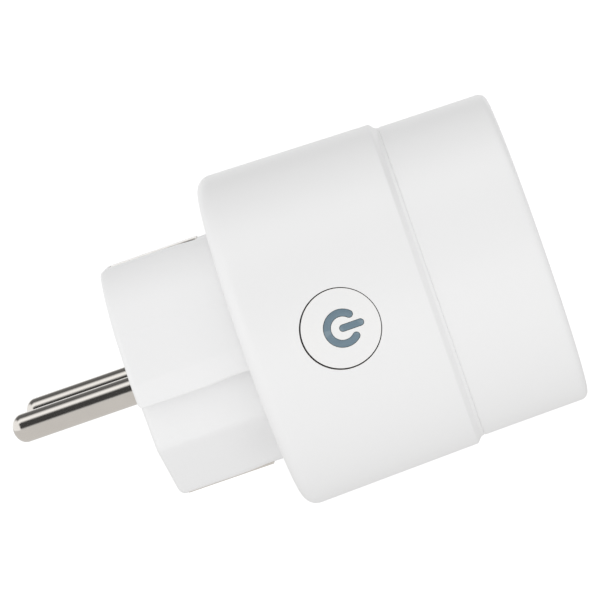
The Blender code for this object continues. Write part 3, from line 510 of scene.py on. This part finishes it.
def board_finish():
    """Green solder mask with paler tracks and plated pads."""
    made, tree, shader, mottle = plain_finish("board_green", (0.03, 0.17, 0.08), 0.35,
                                              variation=0.2, scale=200.0)
    place = tree.nodes.new("ShaderNodeTexCoord")
    tracks = tree.nodes.new("ShaderNodeTexBrick")
    tracks.inputs["Scale"].default_value = 260.0
    tracks.inputs["Mortar Size"].default_value = 0.03
    tree.links.new(place.outputs["Object"], tracks.inputs["Vector"])
    stain(tree, shader, tracks.outputs["Fac"], (0.10, 0.32, 0.14), 0.8)
    pads = put_group(tree, SPECKS, Scale=420.0, Size=0.22, Rarity=0.75)
    stain(tree, shader, pads.outputs["Mask"], (0.75, 0.72, 0.66), 0.9)
    add_bump(tree, shader, tracks.outputs["Fac"], 0.00002)
    return made


def mark_finish():
    """Blue-grey light guide of the power symbol, a little darker towards its rim."""
    made, tree, shader, mottle = plain_finish("symbol_blue_grey", (0.155, 0.232, 0.290), 0.30,
                                              variation=0.08, scale=700.0)
    edges = put_group(tree, WORN_EDGES, Start=0.50, End=0.62)
    stain(tree, shader, edges.outputs["Mask"], (0.30, 0.38, 0.43), 0.5)
    height = put_group(tree, ORANGE_PEEL, Scale=1800.0)
    add_bump(tree, shader, height.outputs["Height"], 0.000006)
    return made


PIN_NICKEL = metal_finish("pin_nickel", (0.79, 0.755, 0.71), 0.08, 0.15, 5200.0, 0.0000012)
STRIP_STEEL = metal_finish("strip_steel", (0.62, 0.62, 0.61), 0.24, 0.36, 2600.0, 0.000004)
STRIP_BRASS = metal_finish("strip_brass", (0.80, 0.62, 0.32), 0.24, 0.36, 2600.0, 0.000004)
SCREW_STEEL = metal_finish("screw_steel", (0.56, 0.56, 0.57), 0.26, 0.40, 3000.0, 0.000004)
COPPER_ALLOY = metal_finish("copper_alloy", (0.72, 0.36, 0.20), 0.25, 0.35, 7000.0, 0.00002)
BOARD_GREEN = board_finish()
SYMBOL_BLUE_GREY = mark_finish()
CASE_BLACK = inside_finish("case_black", (0.035, 0.035, 0.037), 0.45)
CARRIER_GREY = inside_finish("carrier_grey", (0.35, 0.36, 0.37), 0.50)
SLEEVE_BLUE = inside_finish("sleeve_blue", (0.04, 0.13, 0.36), 0.30)
FILM_YELLOW = inside_finish("film_yellow", (0.80, 0.62, 0.10), 0.38)
CERAMIC_TAN = inside_finish("ceramic_tan", (0.55, 0.42, 0.26), 0.60)
LENS_MILKY = inside_finish("lens_milky", (0.85, 0.87, 0.88), 0.22, variation=0.03)
WIRE_GREEN = inside_finish("wire_green", (0.20, 0.45, 0.10), 0.45)
# Dark brown for the button cap's side wall: painted shade that stands in for the shadow in the narrow gap
# round the button.
GAP_SHADE_PAINT = inside_finish("painted_gap_shade", (0.30, 0.24, 0.20), 0.70)
print("materials ready:", len(bpy.data.materials))

# %% [markdown]
# Each inner solid keeps its shape and takes the finish of the real part. The table pairs the
# record's slots with the materials above.

# %% Dress the inner solids
FINISH_OF_SLOT = {
    "white_gloss": SHELL_WHITE, "white_satin": CAP_WHITE, "grey_light_guide": SYMBOL_BLUE_GREY,
    "nickel": PIN_NICKEL, "brass": STRIP_BRASS, "spring_steel": STRIP_STEEL, "steel": SCREW_STEEL,
    "grey_plastic": CARRIER_GREY, "green_board": BOARD_GREEN, "black_plastic": CASE_BLACK,
    "blue_sleeve": SLEEVE_BLUE, "yellow_film": FILM_YELLOW, "copper": COPPER_ALLOY,
    "tan_ceramic": CERAMIC_TAN, "milky_lens": LENS_MILKY, "green_wire": WIRE_GREEN,
}
for row in frame["record"]["subparts"]:
    solid = frame["nodes"][row["node"]]
    solid.data.materials.clear()
    solid.data.materials.append(FINISH_OF_SLOT[row["material_slot"]])

# %% [markdown]
# A few helpers turn outlines into closed meshes. A turned profile makes every round part; a loft
# joins sections along Y; a carved piece has its Boolean cuts and its bevel applied, so that what
# is left is a plain mesh at the origin.

# %% Mesh helpers
def finish_mesh(name, edit, paint, smooth_angle=32.0):
    """Make an object of a bmesh, with outward faces and smooth shading between sharp edges."""
    bmesh.ops.remove_doubles(edit, verts=edit.verts, dist=1e-7)
    bmesh.ops.recalc_face_normals(edit, faces=edit.faces)
    mesh = bpy.data.meshes.new(name)
    edit.to_mesh(mesh)
    edit.free()
    if paint is not None:
        mesh.materials.append(paint)
    mesh.shade_smooth()
    mesh.set_sharp_from_angle(angle=math.radians(smooth_angle))
    made = bpy.data.objects.new(name, mesh)
    bpy.context.scene.collection.objects.link(made)
    return made


def turned_piece(name, profile, paint=None, steps=192, centre=(0, 0, 0), axis="Y"):
    """Turn (radius, height) points about an axis. A point on the axis closes that end."""
    edit = bmesh.new()
    rings = []
    for radius, height in profile:
        if radius < 1e-9:
            rings.append([edit.verts.new((0, 0, height))])
        else:
            rings.append([edit.verts.new((radius * math.cos(2 * math.pi * step / steps),
                                          radius * math.sin(2 * math.pi * step / steps), height))
                          for step in range(steps)])
    pairs = list(zip(rings, rings[1:]))
    if len(rings[0]) > 1 or len(rings[-1]) > 1:
        pairs.append((rings[-1], rings[0]))
    for low, high in pairs:
        for step in range(steps):
            after = (step + 1) % steps
            corners = [low[step % len(low)], low[after % len(low)],
                       high[after % len(high)], high[step % len(high)]]
            edit.faces.new(list(dict.fromkeys(corners)))
    turn = {"Y": Matrix.Rotation(-math.pi / 2, 4, "X"), "X": Matrix.Rotation(math.pi / 2, 4, "Y")}[axis]
    bmesh.ops.transform(edit, matrix=Matrix.Translation(centre) @ turn, verts=edit.verts)
    return finish_mesh(name, edit, paint)


def lofted_piece(name, sections, paint=None, smooth_angle=32.0):
    """Join sections of (x, z) points at their y values and close both ends."""
    edit = bmesh.new()
    rings = [[edit.verts.new((x, y, z)) for x, z in outline] for y, outline in sections]
    for low, high in zip(rings, rings[1:]):
        for step in range(len(low)):
            after = (step + 1) % len(low)
            edit.faces.new((low[step], low[after], high[after], high[step]))
    edit.faces.new(rings[0])
    edit.faces.new(rings[-1])
    return finish_mesh(name, edit, paint, smooth_angle)


def boxed_piece(name, low, high, paint=None):
    """A box between two corners, used as a cutter or as a plain core."""
    edit = bmesh.new()
    low = Vector(low)
    high = Vector(high)
    place = Matrix.Translation((low + high) / 2) @ Matrix.Diagonal((*(high - low), 1.0))
    bmesh.ops.create_cube(edit, size=1.0, matrix=place)
    return finish_mesh(name, edit, paint)


def arc_points(centre, radius, start, end, steps):
    """Points of an arc, by angle in degrees."""
    turn = [math.radians(start + (end - start) * step / steps) for step in range(steps + 1)]
    return [(centre[0] + radius * math.cos(angle), centre[1] + radius * math.sin(angle)) for angle in turn]


def bake_modifiers(piece, smooth_angle=32.0):
    """Apply every modifier by taking the evaluated mesh."""
    graph = bpy.context.evaluated_depsgraph_get()
    baked = bpy.data.meshes.new_from_object(piece.evaluated_get(graph))
    piece.modifiers.clear()
    piece.data = baked
    baked.shade_smooth()
    baked.set_sharp_from_angle(angle=math.radians(smooth_angle))
    return piece


def carve(piece, *steps, smooth_angle=32.0):
    """Run Boolean steps of (operation, other) on a piece and remove the helpers."""
    for operation, other in steps:
        boolean = piece.modifiers.new("carve", "BOOLEAN")
        boolean.operation = operation
        boolean.object = other
    bpy.context.view_layer.update()
    bake_modifiers(piece, smooth_angle)
    for operation, other in steps:
        bpy.data.objects.remove(other, do_unlink=True)
    return piece


def soften(piece, width, segments=3, angle=35.0, smooth_angle=32.0):
    """Round the sharp edges of a piece and bake the result."""
    bevel = piece.modifiers.new("soften", "BEVEL")
    bevel.width = width
    bevel.segments = segments
    bevel.limit_method = "ANGLE"
    bevel.angle_limit = math.radians(angle)
    bevel.harden_normals = False
    bpy.context.view_layer.update()
    return bake_modifiers(piece, smooth_angle)


def show(piece, body, *nodes):
    """Put a piece on its body in place of the solids it stands for, and say so."""
    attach(piece, body)
    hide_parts(*nodes)
    print(f"{piece.name}: {len(piece.data.polygons)} faces, rides on {body}")


# %% [markdown]
# The plug's section is round on two opposite flanks, flat where the earth clips lie, and stepped
# in for the socket's guide ribs. One half is drawn and then turned by 180 degrees, because such a
# plug goes in either way up. Growing the outline gives the opening in the housing behind it.

# %% Plug outline
PLUG_R = 0.0189
PLUG_FLAT_Z = 0.01748
CREASE_Z = 0.0085
BAND_Z = 0.0015
STEP_Z = 0.0021
RECESS_TOP_X = 0.0152
RECESS_LOW_X = 0.0146
RECESS_LOW_Z = 0.00885
FLAT_X = 0.0035


def rounded_outline(corners, rounding, steps=4):
    """Replace each sharp corner of a closed outline by a short curve."""
    points = []
    count = len(corners)
    for index, (x, z, size) in enumerate(corners):
        here = Vector((x, z))
        before = Vector(corners[index - 1][:2])
        after = Vector(corners[(index + 1) % count][:2])
        reach_in = min(size * rounding, (before - here).length * 0.45)
        reach_out = min(size * rounding, (after - here).length * 0.45)
        start = here + (before - here).normalized() * reach_in
        end = here + (after - here).normalized() * reach_out
        for step in range(steps + 1):
            share = step / steps
            spot = start * (1 - share) ** 2 + here * 2 * share * (1 - share) + end * share ** 2
            points.append((spot.x, spot.y))
    return points


def plug_section(grow=0.0, flank_r=PLUG_R):
    """Section of the plug as (x, z) points. Each corner says how far its rounding reaches."""
    flat_z = PLUG_FLAT_Z + grow
    radius = flank_r + grow
    first = math.asin(min(1.0, flat_z / radius))
    last = math.asin(CREASE_Z / radius)
    half = []
    for step in range(25):
        angle = first + (last - first) * step / 24
        half.append((-radius * math.cos(angle), radius * math.sin(angle), 0.0012 if step == 0 else 0.0002))
    half.append((-math.sqrt(radius ** 2 - BAND_Z ** 2), BAND_Z, 0.0005))
    half.append((-math.sqrt(radius ** 2 - STEP_Z ** 2), -STEP_Z - grow, 0.00035))
    half.append((-RECESS_TOP_X - grow, -STEP_Z - grow, 0.0005))
    half.append((-RECESS_LOW_X - grow, -RECESS_LOW_Z, 0.0010))
    half.append((-FLAT_X, -flat_z, 0.0016))
    return rounded_outline(half + [(-x, -z, size) for x, z, size in half], 1.0)


print("plug section has", len(plug_section()), "points")

# %% [markdown]
# The main housing is one moulded cup. Turning its profile gives the curved wall, the shoulder that
# steps down to the front cover and the rounded rear edge. The opening for the plug, the hole for
# the button and the two screw seats are then carved.

# %% Housing shell
def housing_outer(radius_offset=0.0):
    """Outer profile from the joint with the cover to the rear face, as (radius, y)."""
    foot_r = COVER_R + 0.00002
    points = [(foot_r - SEAM_DEPTH * (1 - step / 5) ** 2, JOINT_Y + SEAM_ROUND * step / 5)
              for step in range(6)]
    steps = 20
    for step in range(1, steps + 1):
        share = step / steps
        blend = share * share * (3 - 2 * share)
        points.append((foot_r + (STEP_R - foot_r) * blend,
                       JOINT_Y + SEAM_ROUND + (SHOULDER - SEAM_ROUND) * share))
    rear_centre = (BODY_R - REAR_ROUND, REAR_Y - REAR_ROUND)
    for step in range(1, 12):
        share = step / 12
        points.append((STEP_R + (BODY_R - STEP_R) * share,
                       JOINT_Y + SHOULDER + (rear_centre[1] - JOINT_Y - SHOULDER) * share))
    points += arc_points(rear_centre, REAR_ROUND, 0, 90, 14)
    return [(radius + radius_offset, y) for radius, y in points]


WALL = 0.0020
REAR_WALL = 0.0026
LIP_R = COVER_R - WALL
rear_inside = REAR_Y - REAR_WALL
housing_profile = [(0, rear_inside), (BODY_R - WALL - 0.0010, rear_inside),
                   (BODY_R - WALL, rear_inside - 0.0010),
                   (STEP_R - WALL, JOINT_Y + 0.0052), (LIP_R, JOINT_Y + 0.0014), (LIP_R, JOINT_Y)]
housing_profile += housing_outer() + [(0, REAR_Y)]
PLUG_OPENING_GAP = 0.00010
BUTTON_R = 0.00557
BUTTON_GAP = 0.00018
housing_shell = turned_piece("housing_shell", housing_profile, SHELL_WHITE)
opening = lofted_piece("opening", [(rear_inside - 0.001, plug_section(PLUG_OPENING_GAP)),
                                   (REAR_Y + 0.001, plug_section(PLUG_OPENING_GAP))])
button_hole = turned_piece("button_hole", [(0, -BODY_R - 0.002), (BUTTON_R + BUTTON_GAP, -BODY_R - 0.002),
                                           (BUTTON_R + BUTTON_GAP, -BODY_R + 0.007), (0, -BODY_R + 0.007)],
                           None, 128, (0, BUTTON_Y, 0), "X")
screw_boxes = [box_of(name) for name in ("housing_screw_1", "housing_screw_2")]
screw_middles = [((low.x + high.x) / 2, (low.z + high.z) / 2) for low, high in screw_boxes]
screw_head_r = (screw_boxes[0][1].x - screw_boxes[0][0].x) / 2
housing_cuts = [("DIFFERENCE", opening), ("DIFFERENCE", button_hole)]
for number, (x, z) in enumerate(screw_middles):
    seat = turned_piece(f"seat_{number}", [(0, REAR_Y - 0.0014), (screw_head_r + 0.00015, REAR_Y - 0.0014),
                                           (screw_head_r + 0.00015, REAR_Y + 0.001), (0, REAR_Y + 0.001)],
                        None, 48, (x, 0, z))
    shank = turned_piece(f"shank_{number}", [(0, rear_inside - 0.001), (0.0013, rear_inside - 0.001),
                                             (0.0013, REAR_Y - 0.001), (0, REAR_Y - 0.001)],
                         None, 32, (x, 0, z))
    housing_cuts += [("DIFFERENCE", seat), ("DIFFERENCE", shank)]
carve(housing_shell, *housing_cuts)
show(housing_shell, "shell", "main_housing")

# %% [markdown]
# The front cover carries the socket. Its outside tapers by a hair towards the rim, so that it
# leaves the mould; its inside is the 39 mm well with two guide ribs, the pin entries and a slot
# on each side for the earth spring.

# %% Front cover
WELL_R = 0.0196
FLOOR_Y = FRONT_Y + 0.0175
FLOOR_BACK_Y = FLOOR_Y + 0.0025
RIM_ROUND = 0.0012
cover_back_y = JOINT_Y - SEAM
cover_profile = [(0, FLOOR_Y), (WELL_R - 0.0005, FLOOR_Y)]
cover_profile += arc_points((WELL_R - 0.0005, FLOOR_Y - 0.0005), 0.0005, 90, 0, 4)[1:]
cover_profile += arc_points((WELL_R + 0.0006, FRONT_Y + 0.0006), 0.0006, 180, 270, 6)
cover_profile += arc_points((COVER_FRONT_R - RIM_ROUND, FRONT_Y + RIM_ROUND), RIM_ROUND, -90, 0, 10)
for share in (0.25, 0.5, 0.75):
    cover_profile.append((COVER_FRONT_R + (COVER_R - COVER_FRONT_R) * share,
                          FRONT_Y + RIM_ROUND + (cover_back_y - FRONT_Y - RIM_ROUND) * share))
for step in range(6):
    cover_profile.append((COVER_R - SEAM_DEPTH * (step / 5) ** 2, cover_back_y - SEAM_ROUND * (1 - step / 5)))
cover_profile += [(LIP_R - 0.0002, cover_back_y),
                  (LIP_R - 0.0002, cover_back_y + 0.0034), (LIP_R - 0.0015, cover_back_y + 0.0034),
                  (LIP_R - 0.0015, FLOOR_BACK_Y), (0, FLOOR_BACK_Y)]
cover_shell = turned_piece("cover_shell", cover_profile, SHELL_WHITE)
RIB_WIDTH = 0.0048
RIB_REACH = 0.0166
rib_z = STEP_Z + 0.0007 + RIB_WIDTH / 2
cover_steps = []
for side in (-1, 1):
    inner, outer = sorted((side * RIB_REACH, side * (WELL_R + 0.0003)))
    rib = boxed_piece(f"rib_{side}", (inner, FRONT_Y + 0.0012, side * rib_z - RIB_WIDTH / 2),
                      (outer, FLOOR_Y + 0.0004, side * rib_z + RIB_WIDTH / 2))
    soften(rib, 0.0004, 3)
    cover_steps.append(("UNION", rib))
bow_low, bow_high = box_of("socket_earth_bow")
slot_half = bow_high.x + 0.0003
for side in (-1, 1):
    x = side * PIN_X
    entry = turned_piece(f"entry_{side}", [(0, FLOOR_Y - 0.001), (0.0035, FLOOR_Y - 0.001),
                                           (0.0028, FLOOR_Y + 0.0004), (0.0028, FLOOR_BACK_Y + 0.001),
                                           (0, FLOOR_BACK_Y + 0.001)],
                         None, 64, (x, 0, 0))
    inner, outer = sorted((side * (bow_high.z - 0.0028), side * (bow_high.z + 0.0014)))
    slot = boxed_piece(f"slot_{side}", (-slot_half, FRONT_Y + 0.0030, inner),
                       (slot_half, cover_back_y + 0.0055, outer))
    cover_steps += [("DIFFERENCE", entry), ("DIFFERENCE", slot)]
carve(cover_shell, *cover_steps)
show(cover_shell, "shell", "front_cover")

# %% [markdown]
# The plug is lofted along Y. Its face edge is a quarter round, its flanks draw in slightly just
# before the housing, and its foot carries on through the rear wall so that no gap shows.

# %% Plug
FACE_ROUND = 0.0009
WAIST_DEPTH = 0.00022
foot_y = rear_inside + 0.0004


def waist(y):
    """How far the plug draws in at a height along its axis."""
    return -WAIST_DEPTH * math.exp(-((y - (REAR_Y + 0.0022)) / 0.0028) ** 2)


sections = []
for step in range(17):
    y = foot_y + (FACE_Y - FACE_ROUND - foot_y) * step / 16
    sections.append((y, plug_section(waist(y))))
for step in range(1, 7):
    turn = math.radians(90 * step / 6)
    sections.append((FACE_Y - FACE_ROUND * (1 - math.sin(turn)),
                     plug_section(-FACE_ROUND * (1 - math.cos(turn)))))
plug_shell = lofted_piece("plug_shell", sections, PLUG_WHITE)
plug_steps = []
EARTH_ENTRY_Z = 0.0100
CLIP_GAP = 0.00005
for name, x, z, radius, depth in (("bore_a", -PIN_X, 0, 0.00216, 0.004), ("bore_b", PIN_X, 0, 0.00216, 0.004),
                                  ("earth_entry", 0, EARTH_ENTRY_Z, 0.0026, 0.012)):
    profile = [(0, -depth), (radius, -depth), (radius, -0.0004), (radius + 0.0004, 0.0001),
               (radius + 0.0004, 0.001), (0, 0.001)]
    plug_steps.append(("DIFFERENCE", turned_piece(name, profile, None, 48, (x, FACE_Y, z))))
for name, side in (("plug_earth_clip_top", 1), ("plug_earth_clip_bottom", -1)):
    clip_low, clip_high = box_of(name)
    outer = PLUG_FLAT_Z + 0.001
    inner = PLUG_FLAT_Z - 0.0009
    low_z, high_z = sorted((side * inner, side * outer))
    deep_z, far_z = sorted((side * (PLUG_FLAT_Z - 0.0043), side * outer))
    half = clip_high.x + CLIP_GAP
    plug_steps.append(("DIFFERENCE", boxed_piece(name + "_groove", (-half, clip_low.y - CLIP_GAP, low_z),
                                                 (half, clip_high.y + CLIP_GAP, high_z))))
    plug_steps.append(("DIFFERENCE", boxed_piece(name + "_slot", (-half, clip_low.y - CLIP_GAP, deep_z),
                                                 (half, clip_low.y + 0.00065, far_z))))
carve(plug_shell, *plug_steps)
show(plug_shell, "shell", "plug_insert")

# %% [markdown]
# Both pins are the same turned part, so Geometry Nodes place one turned profile at two points and
# the result is baked to a mesh. The tip is nearly a half ball: it leads the pin into a contact.

# %% Pins
def placed_by_nodes(name, template, places, paint):
    """Instance a template mesh at places with a small node tree, then bake it."""
    tree = bpy.data.node_groups.new(name + "_nodes", "GeometryNodeTree")
    tree.interface.new_socket("Geometry", in_out="INPUT", socket_type="NodeSocketGeometry")
    size_socket = tree.interface.new_socket("Size", in_out="INPUT", socket_type=FLOAT)
    tree.interface.new_socket("Geometry", in_out="OUTPUT", socket_type="NodeSocketGeometry")
    entry = tree.nodes.new("NodeGroupInput")
    leave = tree.nodes.new("NodeGroupOutput")
    source = tree.nodes.new("GeometryNodeObjectInfo")
    source.inputs["Object"].default_value = template
    points = tree.nodes.new("GeometryNodeMeshToPoints")
    copies = tree.nodes.new("GeometryNodeInstanceOnPoints")
    real = tree.nodes.new("GeometryNodeRealizeInstances")
    dress = tree.nodes.new("GeometryNodeSetMaterial")
    dress.inputs["Material"].default_value = paint
    tree.links.new(entry.outputs["Geometry"], points.inputs["Mesh"])
    tree.links.new(points.outputs["Points"], copies.inputs["Points"])
    tree.links.new(source.outputs["Geometry"], copies.inputs["Instance"])
    tree.links.new(entry.outputs["Size"], copies.inputs["Scale"])
    tree.links.new(copies.outputs["Instances"], real.inputs["Geometry"])
    tree.links.new(real.outputs["Geometry"], dress.inputs["Geometry"])
    tree.links.new(dress.outputs["Geometry"], leave.inputs["Geometry"])
    mesh = bpy.data.meshes.new(name)
    mesh.from_pydata([tuple(place) for place in places], [], [])
    made = bpy.data.objects.new(name, mesh)
    bpy.context.scene.collection.objects.link(made)
    nodes = made.modifiers.new("placed", "NODES")
    nodes.node_group = tree
    nodes[size_socket.identifier] = 1.0
    bpy.context.view_layer.update()
    bake_modifiers(made, 40.0)
    bpy.data.objects.remove(template, do_unlink=True)
    return made


PIN_R = 0.0021
tip_length = 0.83 * PIN_R
pin_profile = [(0, pin_low.y), (PIN_R, pin_low.y), (PIN_R, pin_low.y + 0.004)]
for share in (0.2, 0.4, 0.6, 0.8):
    pin_profile.append((PIN_R, pin_low.y + 0.004 + (PIN_TIP_Y - tip_length - pin_low.y - 0.004) * share))
for step in range(15):
    turn = math.radians(90 * step / 15)
    pin_profile.append((PIN_R * math.cos(turn), PIN_TIP_Y - tip_length + tip_length * math.sin(turn)))
pin_profile.append((0, PIN_TIP_Y))
pin_template = turned_piece("pin_template", pin_profile, PIN_NICKEL, 64)
pins = placed_by_nodes("contact_pins", pin_template, [(-abs(PIN_X), 0, 0), (abs(PIN_X), 0, 0)], PIN_NICKEL)
show(pins, "shell", "line_pin", "neutral_pin")

# %% [markdown]
# Pressed strip metal has rounded edges. Here the solid's own mesh is copied, its loose triangles
# are merged and flat faces rejoined, and a bevel rounds what is left. The CAD solid isn't touched.

# %% Strips and small solids with softened edges
def softened_copy(node, name, paint, width, body="shell", angle=30.0):
    """A bevelled copy of a solid that stands for it."""
    edit = bmesh.new()
    edit.from_mesh(frame["nodes"][node].data)
    bmesh.ops.remove_doubles(edit, verts=edit.verts, dist=1e-6)
    bmesh.ops.dissolve_limit(edit, angle_limit=math.radians(1.0), verts=edit.verts, edges=edit.edges)
    piece = finish_mesh(name, edit, paint)
    soften(piece, width, 2, angle)
    show(piece, body, node)
    return piece


for node, paint, width in (("plug_earth_clip_top", PIN_NICKEL, 0.00012),
                           ("plug_earth_clip_bottom", PIN_NICKEL, 0.00012),
                           ("socket_earth_bow", STRIP_STEEL, 0.00012), ("relay", CASE_BLACK, 0.0004),
                           ("film_capacitor", FILM_YELLOW, 0.0003)):
    softened_copy(node, node + "_formed", paint, width)

# %% [markdown]
# Two screws hold the shells together. A template with a cross recess is carved once and placed at
# both seats by the same node tree as the pins.

# %% Screws
screw_low, screw_high = screw_boxes[0]
head_y = REAR_Y - 0.00015
screw_profile = [(0, screw_low.y), (0.0004, screw_low.y), (0.0010, screw_low.y + 0.0010),
                 (0.0010, head_y - 0.0011), (screw_head_r, head_y - 0.0011), (screw_head_r, head_y - 0.0004)]
screw_profile += arc_points((screw_head_r - 0.0004, head_y - 0.0004), 0.0004, 0, 90, 4)[1:] + [(0, head_y)]
screw_template = turned_piece("screw_template", screw_profile, SCREW_STEEL, 32)
bar_half = 0.0011
bar_width = 0.00022
recess = [("DIFFERENCE", boxed_piece(f"recess_{number}", (-x, head_y - 0.0006, -z), (x, head_y + 0.001, z)))
          for number, (x, z) in enumerate(((bar_half, bar_width), (bar_width, bar_half)))]
carve(screw_template, *recess)
screws = placed_by_nodes("housing_screws", screw_template, [(x, 0, z) for x, z in screw_middles], SCREW_STEEL)
show(screws, "shell", "housing_screw_1", "housing_screw_2")

# %% [markdown]
# The button's cap is cut from the same skin as the housing, so its face follows the round wall and
# sits flush. A hidden collar keeps it from falling out. The power symbol is a light guide that
# fills a groove through the cap, a hair below the surface.

# %% Button cap
CAP_FACE_IN = -STEP_R + 0.0015
collar_out_x = cap_high.x - 0.0008
skin = turned_piece("skin", [(0, JOINT_Y)] + housing_outer() + [(0, REAR_Y)], None, 384)
cap_rim = [(0, -BODY_R - 0.002), (BUTTON_R, -BODY_R - 0.002), (BUTTON_R, cap_high.x), (0, cap_high.x)]
CAP_LEAN = 0.00006
button_cap = turned_piece("button_cap", cap_rim, CAP_WHITE, 160, (0, BUTTON_Y - CAP_LEAN, CAP_LEAN / 2), "X")
collar_r = (cap_high.y - cap_low.y) / 2
carve(button_cap, ("INTERSECT", skin))
ARC_R = 0.00217
STROKE = 0.00096
BAR_END = 0.0026
BAR_INNER_END = 0.0004
GAP_ANGLE = 47.0
SYMBOL_SHIFT = 0.0003
SYMBOL_GAP = 0.00007
symbol_y = BUTTON_Y - SYMBOL_SHIFT


def flat_solid(name, outline, low_x, high_x, paint=None):
    """Extrude a (y, z) outline along X."""
    edit = bmesh.new()
    low = [edit.verts.new((low_x, y, z)) for y, z in outline]
    high = [edit.verts.new((high_x, y, z)) for y, z in outline]
    for index in range(len(outline)):
        after = (index + 1) % len(outline)
        edit.faces.new((low[index], low[after], high[after], high[index]))
    edit.faces.new(low)
    edit.faces.new(high)
    return finish_mesh(name, edit, paint)


def symbol_outlines(grow):
    """The open ring and the bar of the power symbol, with round ends, as (y, z) outlines."""
    half = STROKE / 2 + grow
    ring = arc_points((0, 0), ARC_R + half, -180 + GAP_ANGLE, 180 - GAP_ANGLE, 56)
    end_turn = math.radians(180 - GAP_ANGLE)
    end = (ARC_R * math.cos(end_turn), ARC_R * math.sin(end_turn))
    ring += arc_points(end, half, 180 - GAP_ANGLE, 360 - GAP_ANGLE, 12)[1:]
    ring += arc_points((0, 0), ARC_R - half, 180 - GAP_ANGLE, -180 + GAP_ANGLE, 56)[1:]
    ring += arc_points((end[0], -end[1]), half, GAP_ANGLE, 180 + GAP_ANGLE, 12)[1:-1]
    bar_half_width = 0.00045 + grow
    bar = arc_points((-BAR_END, 0), bar_half_width, 90, 270, 12)
    bar += arc_points((BAR_INNER_END - 0.00045, 0), bar_half_width, -90, 90, 12)
    return [[(symbol_y + y, z) for y, z in outline] for outline in (ring, bar)]


POCKET_R = 0.0045
collar_profile = [(0, collar_out_x), (collar_r, collar_out_x), (collar_r, cap_high.x), (0, cap_high.x)]
cap_steps = [("UNION", turned_piece("collar", collar_profile, None, 96, (0, BUTTON_Y, 0), "X"))]
pocket_end_x = cap_high.x + 0.001
pocket_profile = [(0, CAP_FACE_IN), (POCKET_R, CAP_FACE_IN), (POCKET_R, pocket_end_x), (0, pocket_end_x)]
cap_steps.append(("DIFFERENCE", turned_piece("pocket", pocket_profile, None, 64, (0, BUTTON_Y, 0), "X")))
for number, outline in enumerate(symbol_outlines(SYMBOL_GAP)):
    groove = flat_solid(f"groove_{number}", outline, -BODY_R - 0.002, CAP_FACE_IN + 0.0005)
    cap_steps.append(("DIFFERENCE", groove))
carve(button_cap, *cap_steps)
soften(button_cap, 0.00008, 2, 50.0)
# The cap's side wall, down in the gap round the button, takes the dark brown: painted shade of that gap.
button_cap.data.materials.append(GAP_SHADE_PAINT)
for face in button_cap.data.polygons:
    from_axis = math.hypot(face.center.y - BUTTON_Y + CAP_LEAN, face.center.z - CAP_LEAN / 2)
    if abs(face.normal.x) < 0.3 and from_axis > BUTTON_R - 0.0001:
        face.material_index = 1
show(button_cap, "button", "power_button")

# %% Power symbol
SYMBOL_SINK = 0.00005
GUIDE_DISC_R = 0.0042
GUIDE_STEM_R = 0.0015
symbol_skin = turned_piece("symbol_skin", [(0, JOINT_Y)] + housing_outer(-SYMBOL_SINK) + [(0, REAR_Y)],
                           None, 384)
symbol_ring, symbol_bar = symbol_outlines(0.0)
power_symbol = flat_solid("power_symbol", symbol_ring, -BODY_R - 0.001, CAP_FACE_IN + 0.0008,
                          SYMBOL_BLUE_GREY)
bar_solid = flat_solid("bar_solid", symbol_bar, -BODY_R - 0.001, CAP_FACE_IN + 0.0008)
carve(power_symbol, ("UNION", bar_solid))
carve(power_symbol, ("INTERSECT", symbol_skin))
soften(power_symbol, 0.00006, 2, 50.0)
disc_out_x = CAP_FACE_IN + 0.0003
disc_in_x = CAP_FACE_IN + 0.0015
guide_profile = [(0, disc_out_x), (GUIDE_DISC_R, disc_out_x), (GUIDE_DISC_R, disc_in_x),
                 (GUIDE_STEM_R, disc_in_x), (GUIDE_STEM_R, guide_high.x), (0, guide_high.x)]
guide_base = turned_piece("guide_base", guide_profile, None, 48, (0, BUTTON_Y, 0), "X")
carve(power_symbol, ("UNION", guide_base))
show(power_symbol, "button", "icon_light_guide")

# %% End
print("all pieces made")
